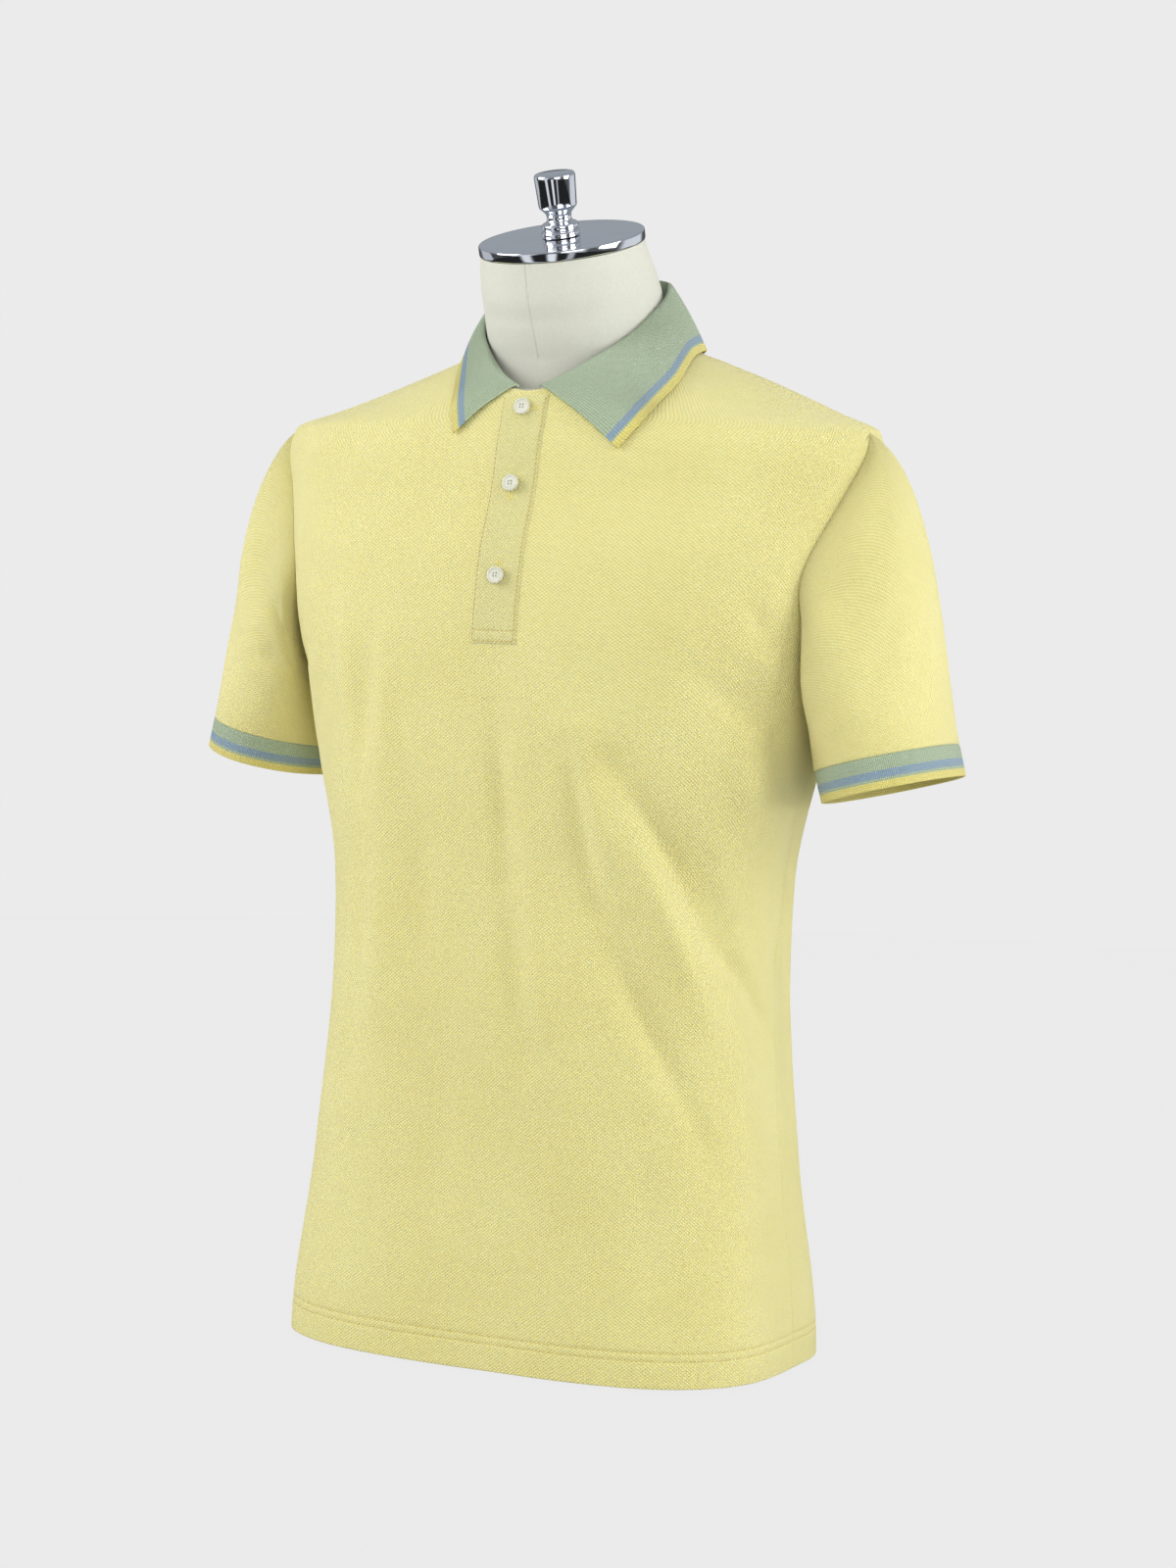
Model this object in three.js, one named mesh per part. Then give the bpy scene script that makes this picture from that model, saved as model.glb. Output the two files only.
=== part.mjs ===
// Polo shirt worn by a limbless dress form, in millimetres.
// +Z is up, the front of the garment faces -Y and the wearer's left is +X.
// The origin is the middle of the form's flat base.

import * as THREE from 'three';
import { mergeVertices } from 'three/addons/utils/BufferGeometryUtils.js';

// Driving dimensions
const CLOTH = 1.7;                // wall of the pique knit
const RIB = 1.8;                  // wall of the rib-knit collar and cuffs
const SEAM = 0.35;                // gap between pieces where they meet
const SLEEVE_SEAM = 0.6;          // the sleeve starts so far inside the armhole edge
const ARMPIT_CLEAR = 0.8;         // and so far outside it at the armpit
const PLACKET_SEAM = 0.95;
const COLLAR_SEAM = 0.8;
const HEM_HEIGHT = 3;
const ARMPIT_HEIGHT = 505;
const SHOULDER_TIP_HEIGHT = 651;
const NECK_POINT_HEIGHT = 710;    // where the shoulder seam meets the collar
const FRONT_NECK_HEIGHT = 676;
const BACK_NECK_HEIGHT = 708;
const FRONT_NECK_POWER = 1.15;    // 2 is a round front neckline, 1 a straight one
const SHOULDER_SEAM_FORWARD = 7;  // degrees that the shoulder seam lies in front of the ridge
const SHOULDER_GAP = 0.24;        // degrees that each panel stops short of the shoulder seam
const SIDE = 90;                  // degrees round the body: 0 centre front, 90 side, 180 centre back
// Degrees that the armhole cuts into each panel, and how far the cut is deepest low down
const FRONT_ARMHOLE = { depth: 21, low: 0.8 };
const BACK_ARMHOLE = { depth: 17, low: 0.45 };
const DEGREE_WIDTH = 3;           // mm of cloth in one degree round the body
const SIDE_DEGREE_WIDTH = 1.7;    // and next to the side seam, where the body turns fastest

const PANEL_COLUMNS = 24;
const HEM_ROWS = 13;              // rows of a panel up to the armpit
const ARMHOLE_ROWS = 9;
const SHOULDER_ROWS = 5;
const SLEEVE_RINGS = 11;
const SLEEVE_REACH = 98;          // pull of the curve that the sleeve leaves the shoulder on
// Way that the sleeve leaves the armhole, at the shoulder tip and at the armpit
const LEAVE_TIP = { out: 0.85, down: 0.42, pull: 1.5 };
const LEAVE_ARMPIT = { out: 0.2, down: 1, pull: 0.75 };
const LEAVE_FORWARD = 0.75;
const ARMHOLE_MIDDLE_X = 215;
const RING_SPACING = 0.9;         // below 1 the sleeve's rings lie closer at the cuff
const ROW_SPACING = 1.08;         // above 1 the rows of a panel lie closer at the hem's centre
const NECK_CURVE_POWER = 6;       // how fast the neckline's curve fades in the rows below it

const CUFF_DEPTH = 22;
const CUFF_CENTRE = { x: 241, y: 5, z: 431 };
const CUFF_HALF_WIDTH = 47;       // across the body
const CUFF_HALF_DEPTH = 69;       // front to back
const CUFF_TILT = 14.5;           // degrees that the sleeve points outward
const CUFF_TAPER = 0.02;          // tightening for each mm towards the cuff's lower edge

const PLACKET_WIDTH = 35;
const PLACKET_BOTTOM = 502;
const PLACKET_TOP = 671;
const PLACKET_WALL = 1.25;
const BUTTON_DIAMETER = 12;
const BUTTON_THICKNESS = 2.6;
const BUTTON_HEIGHTS = [664, 611, 548];
const BUTTON_ROUNDING = 0.5;
const BUTTON_HOLES = 4;
const BUTTON_HOLE_SPREAD = 1.5;
const BUTTON_HOLE_RADIUS = 0.75;

const CAP_RADIUS = 58.6;
const CAP_THICKNESS = 7;
const CAP_ROUNDING = 1.2;
const NECK_TILT = 17.7;           // degrees that the top of the neck leans forward
const NECK_TOP = { y: -33, z: 779.6 };
// Turned outline of the finial: radius and height
const FINIAL_PROFILE = [
  [0, 0], [13.2, 0], [13.6, 0.6], [13.6, 3], [12.6, 4.2], [13, 5.4], [13, 8.2], [11.8, 9.6],
  [9.2, 11], [8.6, 12.5], [8.6, 15], [9.2, 16.4], [13.2, 20.6], [14.5, 41.5], [14.2, 43.4],
  [12.8, 44.4], [0, 44.4],
];

// Sections of the dressed body, one row for each height
const BODY_SECTIONS = [
  { z: 0, half: 188, front: 128, back: 115, square: 3.1 },
  { z: 140, half: 174, front: 124, back: 102, square: 2.9 },
  { z: 260, half: 166, front: 122, back: 91, square: 2.7 },
  { z: 340, half: 169, front: 119, back: 88, square: 2.6 },
  { z: 430, half: 187, front: 122, back: 92, square: 2.6 },
  { z: 505, half: 205, front: 121, back: 99, square: 2.6 },
  { z: 560, half: 214, front: 114, back: 102, square: 2.55 },
  { z: 611, half: 224, front: 97, back: 100, square: 2.4 },
  { z: 640, half: 230, front: 91, back: 92, square: 2.2 },
  { z: 653, half: 228, front: 87, back: 87, square: 2.0 },
  { z: 665, half: 197, front: 84, back: 82, square: 1.85 },
  { z: 676, half: 168, front: 80, back: 78, square: 1.75 },
  { z: 690, half: 131, front: 74, back: 71, square: 1.75 },
  { z: 701, half: 101, front: 67, back: 64, square: 1.8 },
  { z: 708, half: 84, front: 60, back: 58, square: 2.0 },
  { z: 716, half: 76, front: 54, back: 55, square: 2.0 },
];

// The sides of the shirt's neck sit a little towards the wearer's left, by height
const NECK_SHIFT = [
  { z: 652, x: 0 },
  { z: 664, x: 4 },
  { z: 676, x: 8 },
  { z: 690, x: 10.5 },
  { z: 701, x: 11 },
  { z: 710, x: 8 },
];

// Largest folds of the body cloth: each runs between two places, given in degrees round
// the body (plus on the wearer's left) and height. Depth is inward, a ridge is negative.
const BODY_FOLDS = [
  { from: [27, 420], to: [78, 248], width: 17, depth: 8 },
  { from: [18, 440], to: [64, 214], width: 18, depth: -5 },
  { from: [12, 420], to: [55, 155], width: 16, depth: 4 },
  { from: [0, 480], to: [15, 230], width: 16, depth: 5 },
  { from: [4, 420], to: [24, 145], width: 18, depth: -4 },
  { from: [-29, 490], to: [-33, 180], width: 24, depth: -5 },
  { from: [-12, 280], to: [-8, 50], width: 34, depth: 5 },
  { from: [46, 488], to: [66, 445], width: 12, depth: 5 },
  { from: [56, 430], to: [78, 372], width: 18, depth: -5 },
  { from: [-58, 500], to: [-70, 430], width: 14, depth: 5 },
  { from: [118, 490], to: [150, 300], width: 24, depth: 6 },
  { from: [-118, 490], to: [-146, 290], width: 26, depth: 6 },
  { from: [176, 420], to: [170, 120], width: 30, depth: -5 },
  { from: [140, 260], to: [146, 60], width: 26, depth: -4 },
  { from: [-150, 240], to: [-140, 50], width: 28, depth: 4 },
  { from: [98, 430], to: [104, 200], width: 20, depth: 5 },
];

// Largest folds of a sleeve: degrees round it from the shoulder ridge towards the front,
// and the share of its length
const SLEEVE_FOLDS = [
  { from: [100, 0.1], to: [60, 0.6], width: 16, depth: 4 },
  { from: [150, 0.1], to: [120, 0.8], width: 18, depth: -4 },
  { from: [-110, 0.1], to: [-60, 0.7], width: 18, depth: 4 },
  { from: [20, 0.45], to: [80, 0.85], width: 18, depth: 3 },
];
const SLEEVE_DEGREE_WIDTH = 1;
const SLEEVE_LENGTH = 200;
const FOLD_END = 0.12;            // share of a fold's length at which it fades out
const SLEEVE_FOLD_START = 6;      // how fast the sleeve's folds begin below the armhole
const SLEEVE_FOLD_STOP = 5;       // and end above the cuff

// Collar, one row for each station from the front edge to the centre back.
// base: degrees round the neckline. fold: the top of the roll. left and right: where the
// fall ends on each side of the wearer, before it is lifted clear of the body. Every x is
// a distance from the middle. The collar sits a little towards the wearer's left.
const COLLAR_STATIONS = [
  { base: 5, fold: [7, -77.5, 681], left: [75.7, -91.4, 637.2], right: [52, -90.5, 647] },
  { base: 20, fold: [21, -71, 688], left: [88.5, -82.5, 655], right: [58, -82, 665.5] },
  { base: 42, fold: [45, -51, 706], left: [97.5, -71, 670.5], right: [62, -71, 683] },
  { base: 64, fold: [60, -31, 724], left: [104.3, -52, 688], right: [67.5, -53, 699] },
  { base: 90, fold: [66, -6, 743], left: [101, -20, 705], right: [78, -20, 704] },
  { base: 116, fold: [59, 17, 756], left: [91, 12, 706], right: [80, 14, 703] },
  { base: 148, fold: [37, 42, 762], left: [60, 46, 702], right: [56, 46, 700] },
  { base: 180, fold: [0, 51.5, 764], left: [0, 66, 699], right: [0, 66, 699] },
];
const COLLAR_STEPS = 22;          // stations of the built collar on each side
const COLLAR_LIFT = 3.4;          // outer face of the fall above the body cloth
const ROLL_DEPTH = 4.8;           // from the stand's inner face to the outer face of the fall
const ROLL_AT_FRONT = 4.2;
const STAND_PARTS = [0.35, 0.7];  // shares of the way up the stand
const FALL_PARTS = [0.2, 0.45, 0.72];
// Roll of the collar: out in shares of its depth, and down in mm
const ROLL_INNER = { out: 0.12, down: 0.9 };
const ROLL_TOP = 0.55;
const ROLL_OUTER = { out: 1.25, down: 1.9 };
const FULL_STAND = 20;            // the roll has its whole depth over a stand this high
const FALL_BOW = { out: 1.5, up: 1.5 };
const FALL_CLEAR = 3.2;           // outer face of the fall above the cloth, next to the roll
const CLEAR_TOP = 710;            // height from which the collar need not clear the body

// Dress form: distance that it stays behind the cloth, by height
const FORM_SETBACK = [
  { z: 0, distance: 19 },
  { z: 200, distance: 17 },
  { z: 430, distance: 14 },
  { z: 540, distance: 9 },
  { z: 600, distance: 6 },
  { z: 640, distance: 6.2 },
  { z: 658, distance: 5.8 },
  { z: 670, distance: 3.2 },
  { z: 684, distance: 1.9 },
  { z: 716, distance: 1.6 },
];
// Neck sections, each so far below the top along the leaning neck. back: shift of its
// middle towards the back. front and rear: how far it reaches from there.
const NECK_SECTIONS = [
  { below: 88, back: 4, halfWidth: 68, front: 60, rear: 53 },
  { below: 68, back: 8, halfWidth: 64.5, front: 62, rear: 52.5 },
  { below: 55, back: 9, halfWidth: 64, front: 65, rear: 54.5 },
  { below: 42, back: 9, halfWidth: 63.5, front: 66.5, rear: 57 },
  { below: 30, back: 6.5, halfWidth: 62.5, front: 66, rear: 57 },
  { below: 12, back: 2, halfWidth: 60, front: 61, rear: 57.6 },
  { below: 0, back: 0, halfWidth: 58.1, front: 58.1, rear: 58.1 },
];
const FORM_RING_HEIGHTS = [0, 8, 60, 120, 180, 240, 300, 350, 400, 450, 505, 545, 580, 610, 628, 640];
const FORM_SHOULDER_SHARES = [0.153, 0.306, 0.459, 0.612, 0.765, 0.89, 1];
const FORM_COLLAR_DROP = 10;      // the shoulders of the form end so far below the neckline
const FORM_SEGMENTS = 36;
const CAP_SEGMENTS = 48;
const FINIAL_SEGMENTS = 24;

const PIQUE = { color: 0xe6dd95, roughness: 0.85 };
const RIB_KNIT = { color: 0xa4b598, roughness: 0.9 };
const PEARL = { color: 0xe4e4de, roughness: 0.3 };
const CANVAS = { color: 0xd4d5c8, roughness: 0.95 };
const CHROME = { color: 0xd8dadd, roughness: 0.15, metalness: 1 };

const NORMAL_STEP = 0.5;          // degrees and mm between the samples of a normal
const CLEAR_STEP = 0.2;
const CLEAR_PASSES = 6;
const MERGE_DISTANCE = 1e-4;
const SEAM_TURN = 0.4;            // the sleeve's wall turns with the body's over this range of cosines

const radians = THREE.MathUtils.degToRad;
const lerp = THREE.MathUtils.lerp;
const vector = (x, y, z) => new THREE.Vector3(x, y, z);

// Slope of a table's named column at one row, limited so that the curve doesn't overshoot
function tableSlope(rows, index, key, place) {
  const before = rows[index - 1];
  const here = rows[index];
  const after = rows[index + 1];
  if (!before || !after) {
    return 0;
  }
  const left = (here[key] - before[key]) / (here[place] - before[place]);
  const right = (after[key] - here[key]) / (after[place] - here[place]);
  if (left * right <= 0) {
    return 0;
  }
  return (2 * left * right) / (left + right);
}

// Smooth value of a table's named column at a place between its rows
function tableValue(rows, key, at, place = 'z') {
  const last = rows.length - 1;
  const clamped = THREE.MathUtils.clamp(at, rows[0][place], rows[last][place]);
  let index = 0;
  while (index < last - 1 && clamped > rows[index + 1][place]) {
    index += 1;
  }
  const low = rows[index];
  const high = rows[index + 1];
  const span = high[place] - low[place];
  const t = (clamped - low[place]) / span;
  const lowSlope = tableSlope(rows, index, key, place) * span;
  const highSlope = tableSlope(rows, index + 1, key, place) * span;
  const t2 = t * t;
  const t3 = t2 * t;
  return (
    low[key] * (2 * t3 - 3 * t2 + 1) +
    lowSlope * (t3 - 2 * t2 + t) +
    high[key] * (3 * t2 - 2 * t3) +
    highSlope * (t3 - t2)
  );
}

function bodySection(z) {
  return {
    half: tableValue(BODY_SECTIONS, 'half', z),
    front: tableValue(BODY_SECTIONS, 'front', z),
    back: tableValue(BODY_SECTIONS, 'back', z),
    square: tableValue(BODY_SECTIONS, 'square', z),
  };
}

// Point of the smooth body surface, degrees round from the centre front
function smoothBody(degrees, z) {
  const { half, front, back, square } = bodySection(z);
  const across = Math.sin(radians(degrees));
  const forward = Math.cos(radians(degrees));
  const swell = (Math.abs(across) ** square + Math.abs(forward) ** square) ** (-1 / square);
  const depth = forward > 0 ? front : back;
  const shift = tableValue(NECK_SHIFT, 'x', z) * across * across;
  return vector(half * swell * across + shift, -depth * swell * forward, z);
}

// Outward normal of the smooth body surface
function bodyNormal(degrees, z) {
  const around = smoothBody(degrees + NORMAL_STEP, z).sub(smoothBody(degrees - NORMAL_STEP, z));
  const up = smoothBody(degrees, z + NORMAL_STEP).sub(smoothBody(degrees, z - NORMAL_STEP));
  return around.cross(up).normalize();
}

// Depth of all folds at one place, with soft ends
function foldDepth(folds, place, unit) {
  let depth = 0;
  for (const fold of folds) {
    const ax = fold.from[0] * unit[0];
    const ay = fold.from[1] * unit[1];
    const runX = fold.to[0] * unit[0] - ax;
    const runY = fold.to[1] * unit[1] - ay;
    const length = Math.hypot(runX, runY);
    const dx = place[0] * unit[0] - ax;
    const dy = place[1] * unit[1] - ay;
    const along = (dx * runX + dy * runY) / (length * length);
    const beside = (dx * runY - dy * runX) / length;
    const past = Math.max(0, Math.abs(along - 0.5) - 0.5) * length;
    const ends = Math.sin(Math.PI * THREE.MathUtils.clamp(along, FOLD_END, 1 - FOLD_END));
    const distance = Math.hypot(beside, past) / fold.width;
    depth += fold.depth * ends * Math.exp(-distance * distance);
  }
  return depth;
}

// Point of the body cloth with its folds
function clothBody(degrees, z) {
  const wrapped = degrees > 180 ? degrees - 360 : degrees;
  const depth = foldDepth(BODY_FOLDS, [wrapped, z], [DEGREE_WIDTH, 1]);
  return smoothBody(degrees, z).addScaledVector(bodyNormal(degrees, z), -depth);
}

// How far round the body and how high the neckline, armhole and side run
function neckHeight(degrees) {
  const share = Math.sin(radians(Math.min(degrees, SIDE))) ** FRONT_NECK_POWER;
  const front = lerp(FRONT_NECK_HEIGHT, NECK_POINT_HEIGHT, share);
  const back = lerp(NECK_POINT_HEIGHT, BACK_NECK_HEIGHT, Math.sin(radians(Math.max(0, degrees - SIDE))));
  return degrees < SIDE ? front : back;
}

const SIDE_ROWS = HEM_ROWS + ARMHOLE_ROWS + SHOULDER_ROWS;

// Panel side in three stretches: side seam, armhole, shoulder seam
function panelSide(row, armhole, seamDegrees) {
  if (row <= HEM_ROWS) {
    const z = lerp(HEM_HEIGHT, ARMPIT_HEIGHT, row / HEM_ROWS);
    return { degrees: SIDE - SEAM / SIDE_DEGREE_WIDTH / 2, z };
  }
  if (row <= HEM_ROWS + ARMHOLE_ROWS) {
    const turn = (Math.PI * (row - HEM_ROWS)) / ARMHOLE_ROWS;
    const middle = (SHOULDER_TIP_HEIGHT + ARMPIT_HEIGHT) / 2;
    const reach = (SHOULDER_TIP_HEIGHT - ARMPIT_HEIGHT) / 2;
    const drift = ((SIDE - seamDegrees) * (1 - Math.cos(turn))) / 2;
    const inset = armhole.depth * Math.sin(turn) * (1 + armhole.low * Math.cos(turn));
    return { degrees: SIDE - drift - inset, z: middle - reach * Math.cos(turn) };
  }
  const share = (row - HEM_ROWS - ARMHOLE_ROWS) / SHOULDER_ROWS;
  const height = lerp(SHOULDER_TIP_HEIGHT, NECK_POINT_HEIGHT, share);
  return { degrees: seamDegrees, z: height };
}

// Centre line heights that go with the rows of the panel's side
function centreHeight(row, top) {
  const share = row / SIDE_ROWS;
  return lerp(HEM_HEIGHT, top, share ** ROW_SPACING);
}

function panelGrid(isFront) {
  const armhole = isFront ? FRONT_ARMHOLE : BACK_ARMHOLE;
  const forward = isFront ? SHOULDER_SEAM_FORWARD : -SHOULDER_SEAM_FORWARD;
  const seamDegrees = SIDE - forward - SHOULDER_GAP;
  const neckTop = isFront ? FRONT_NECK_HEIGHT : BACK_NECK_HEIGHT;
  const rows = [];
  for (let row = 0; row <= SIDE_ROWS; row += 1) {
    const side = panelSide(row, armhole, seamDegrees);
    const share = row / SIDE_ROWS;
    const line = [];
    for (let column = 0; column <= PANEL_COLUMNS; column += 1) {
      const across = (2 * column) / PANEL_COLUMNS - 1;
      const part = Math.abs(across);
      const fromCentre = part * side.degrees;
      const degrees = isFront ? fromCentre : 180 - fromCentre;
      const straight = lerp(centreHeight(row, neckTop), side.z, part);
      const neckDegrees = isFront ? part * seamDegrees : 180 - part * seamDegrees;
      const curve = neckHeight(neckDegrees) - lerp(neckTop, NECK_POINT_HEIGHT, part);
      const z = straight + curve * share ** NECK_CURVE_POWER;
      const hand = isFront ? Math.sign(across) : Math.sign(-across) || 1;
      line.push({ degrees: hand * degrees, z });
    }
    rows.push(line);
  }
  return rows;
}

// Closed wall through a grid of outer points and the directions in which it has thickness
function wallGeometry(points, inward, isRing) {
  const rows = points.length;
  const columns = points[0].length;
  const positions = [];
  const faces = [];
  const index = (side, row, column) => side * rows * columns + row * columns + (column % columns);
  for (const row of points) {
    row.forEach((p) => positions.push(p.x, p.y, p.z));
  }
  points.forEach((row, r) => {
    row.forEach((p, c) => {
      const q = p.clone().add(inward[r][c]);
      positions.push(q.x, q.y, q.z);
    });
  });
  const quad = (a, b, c, d) => faces.push(a, b, c, a, c, d);
  const lastColumn = isRing ? columns : columns - 1;
  // The two halves of an open sheet are cut into triangles as mirror images
  for (let r = 0; r < rows - 1; r += 1) {
    for (let c = 0; c < lastColumn; c += 1) {
      const isMirrored = !isRing && c >= lastColumn / 2;
      for (const side of [0, 1]) {
        const low = [index(side, r, c), index(side, r, c + 1)];
        const high = [index(side, r + 1, c), index(side, r + 1, c + 1)];
        const loop = isMirrored ? [low[1], high[1], high[0], low[0]] : [low[0], low[1], high[1], high[0]];
        quad(...(side === 0 ? loop : loop.reverse()));
      }
    }
  }
  for (let c = 0; c < lastColumn; c += 1) {
    quad(index(0, 0, c), index(1, 0, c), index(1, 0, c + 1), index(0, 0, c + 1));
    const top = rows - 1;
    quad(index(0, top, c), index(0, top, c + 1), index(1, top, c + 1), index(1, top, c));
  }
  if (!isRing) {
    const edge = columns - 1;
    for (let r = 0; r < rows - 1; r += 1) {
      quad(index(0, r, 0), index(0, r + 1, 0), index(1, r + 1, 0), index(1, r, 0));
      quad(index(0, r, edge), index(1, r, edge), index(1, r + 1, edge), index(0, r + 1, edge));
    }
  }
  const geometry = new THREE.BufferGeometry();
  geometry.setAttribute('position', new THREE.Float32BufferAttribute(positions, 3));
  geometry.setIndex(faces);
  return facingOut(geometry);
}

// Turns the faces round if the mesh is inside out
function facingOut(geometry) {
  const position = geometry.attributes.position;
  const faces = geometry.index.array;
  const corner = (k) => vector(position.getX(faces[k]), position.getY(faces[k]), position.getZ(faces[k]));
  let volume = 0;
  for (let k = 0; k < faces.length; k += 3) {
    volume += corner(k).dot(corner(k + 1).cross(corner(k + 2)));
  }
  if (volume < 0) {
    for (let k = 0; k < faces.length; k += 3) {
      const kept = faces[k + 1];
      faces[k + 1] = faces[k + 2];
      faces[k + 2] = kept;
    }
  }
  geometry.computeVertexNormals();
  return geometry;
}

// Normals of a grid of points, from its neighbours
function gridNormals(points, isRing) {
  const rows = points.length;
  const columns = points[0].length;
  return points.map((row, r) => row.map((p, c) => {
    const left = isRing ? (c + columns - 1) % columns : Math.max(0, c - 1);
    const right = isRing ? (c + 1) % columns : Math.min(columns - 1, c + 1);
    const along = row[right].clone().sub(row[left]);
    const up = points[Math.min(rows - 1, r + 1)][c].clone().sub(points[Math.max(0, r - 1)][c]);
    return along.cross(up).normalize();
  }));
}

const scaled = (normals, length) => normals.map((row) => row.map((n) => n.clone().multiplyScalar(length)));

function finish(name, geometry, look) {
  const mesh = new THREE.Mesh(geometry, new THREE.MeshStandardMaterial(look));
  mesh.name = name;
  return mesh;
}

// Front and back of the shirt
function panel(name, isFront) {
  const places = panelGrid(isFront);
  const points = places.map((row) => row.map((place) => clothBody(place.degrees, place.z)));
  const normals = places.map((row) => row.map((place) => bodyNormal(place.degrees, place.z)));
  return finish(name, wallGeometry(points, scaled(normals, -CLOTH), false), PIQUE);
}

// Armhole ring of the wearer's left side: armpit, front edge up to the tip, back edge down
function armholeRing() {
  const ring = [];
  const frontSeam = SIDE - SHOULDER_SEAM_FORWARD;
  for (let row = HEM_ROWS + ARMHOLE_ROWS; row >= HEM_ROWS; row -= 1) {
    const side = panelSide(row, FRONT_ARMHOLE, frontSeam);
    ring.push({ degrees: side.degrees, z: side.z });
  }
  for (let row = HEM_ROWS + 1; row < HEM_ROWS + ARMHOLE_ROWS; row += 1) {
    const side = panelSide(row, BACK_ARMHOLE, 2 * SIDE - frontSeam);
    ring.push({ degrees: 2 * SIDE - side.degrees, z: side.z });
  }
  return ring;
}

// Angle round the sleeve, 0 at the shoulder tip, 90 at the front, 180 at the armpit
const sleeveAngle = (index) => (360 * index) / (2 * ARMHOLE_ROWS);

const SLEEVE_AXIS = vector(Math.sin(radians(CUFF_TILT)), 0, -Math.cos(radians(CUFF_TILT)));
const CUFF_ACROSS = vector(Math.cos(radians(CUFF_TILT)), 0, Math.sin(radians(CUFF_TILT)));

// Point of a ring at right angles to the sleeve, so far below the cuff's upper edge
function cuffPoint(angle, below, tighter = 0) {
  const a = radians(angle);
  return vector(CUFF_CENTRE.x, CUFF_CENTRE.y, CUFF_CENTRE.z)
    .addScaledVector(SLEEVE_AXIS, below)
    .addScaledVector(CUFF_ACROSS, (CUFF_HALF_WIDTH - tighter) * Math.cos(a))
    .add(vector(0, -(CUFF_HALF_DEPTH - tighter) * Math.sin(a), 0));
}

// Sleeve surface: a curve from each place of the armhole to its place at the cuff
function sleevePoint(start, angle, share) {
  const up = (1 + Math.cos(radians(angle))) / 2;
  const forward = Math.sin(radians(angle));
  const out = lerp(LEAVE_ARMPIT.out, LEAVE_TIP.out, up);
  const down = lerp(LEAVE_ARMPIT.down, LEAVE_TIP.down, up);
  const leave = vector(out, -LEAVE_FORWARD * forward, -down).normalize();
  const end = cuffPoint(angle, -SEAM);
  const reach = SLEEVE_REACH * lerp(LEAVE_ARMPIT.pull, LEAVE_TIP.pull, up);
  const s2 = share * share;
  const s3 = s2 * share;
  return start.clone().multiplyScalar(2 * s3 - 3 * s2 + 1)
    .addScaledVector(leave, reach * (s3 - 2 * s2 + share))
    .addScaledVector(end, 3 * s2 - 2 * s3)
    .addScaledVector(SLEEVE_AXIS, reach * (s3 - s2));
}

const ARMHOLE_CENTRE = vector(ARMHOLE_MIDDLE_X, 0, (ARMPIT_HEIGHT + SHOULDER_TIP_HEIGHT) / 2);

function sleeveGrid() {
  const ring = armholeRing();
  const rows = [];
  for (let r = 0; r <= SLEEVE_RINGS; r += 1) {
    const share = (r / SLEEVE_RINGS) ** RING_SPACING;
    rows.push(ring.map((place, index) => {
      const angle = sleeveAngle(index);
      const edge = clothBody(place.degrees, place.z);
      const way = ARMHOLE_CENTRE.clone().sub(edge);
      const normal = bodyNormal(place.degrees, place.z);
      way.addScaledVector(normal, -way.dot(normal)).setLength(SLEEVE_SEAM);
      const aside = lerp(ARMPIT_CLEAR, 0, (1 + Math.cos(radians(angle))) / 2);
      return sleevePoint(edge.add(way).add(vector(aside, 0, 0)), angle, share);
    }));
  }
  const normals = gridNormals(rows, true);
  rows.forEach((row, r) => {
    const share = (r / SLEEVE_RINGS) ** RING_SPACING;
    row.forEach((p, index) => {
      const angle = sleeveAngle(index);
      const signed = angle > 180 ? angle - 360 : angle;
      const begin = Math.min(1, share * SLEEVE_FOLD_START);
      const stop = Math.min(1, (1 - share) * SLEEVE_FOLD_STOP);
      const depth = foldDepth(SLEEVE_FOLDS, [signed, share], [SLEEVE_DEGREE_WIDTH, SLEEVE_LENGTH]);
      p.addScaledVector(normals[r][index], -depth * begin * stop);
    });
  });
  return { rows, ring };
}

function sleeveWall() {
  const { rows, ring } = sleeveGrid();
  const normals = gridNormals(rows, true);
  const inward = scaled(normals, -CLOTH);
  // At the seam the wall turns with the body cloth that it is sewn to
  ring.forEach((place, index) => {
    const bodyWay = bodyNormal(place.degrees, place.z);
    const agree = THREE.MathUtils.clamp((normals[0][index].dot(bodyWay) / SEAM_TURN + 1) / 2, 0, 1);
    const turned = bodyWay.multiplyScalar(agree).addScaledVector(normals[0][index], 1 - agree);
    inward[0][index] = turned.normalize().multiplyScalar(-CLOTH);
  });
  return { rows, inward };
}

const mirrored = (rows) => rows.map((row) => row.map((p) => vector(-p.x, p.y, p.z)));

function sleeve(name, isLeft) {
  const { rows, inward } = sleeveWall();
  const points = isLeft ? rows : mirrored(rows);
  const ways = isLeft ? inward : mirrored(inward);
  return finish(name, wallGeometry(points, ways, true), PIQUE);
}

function cuff(name, isLeft) {
  const rows = [0, CUFF_DEPTH / 2, CUFF_DEPTH].map((below) => {
    const line = [];
    for (let index = 0; index < 2 * ARMHOLE_ROWS; index += 1) {
      line.push(cuffPoint(sleeveAngle(index), below + SEAM, CUFF_TAPER * below));
    }
    return line;
  });
  const inward = scaled(gridNormals(rows, true), -RIB);
  const points = isLeft ? rows : mirrored(rows);
  const ways = isLeft ? inward : mirrored(inward);
  return finish(name, wallGeometry(points, ways, true), RIB_KNIT);
}

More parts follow.
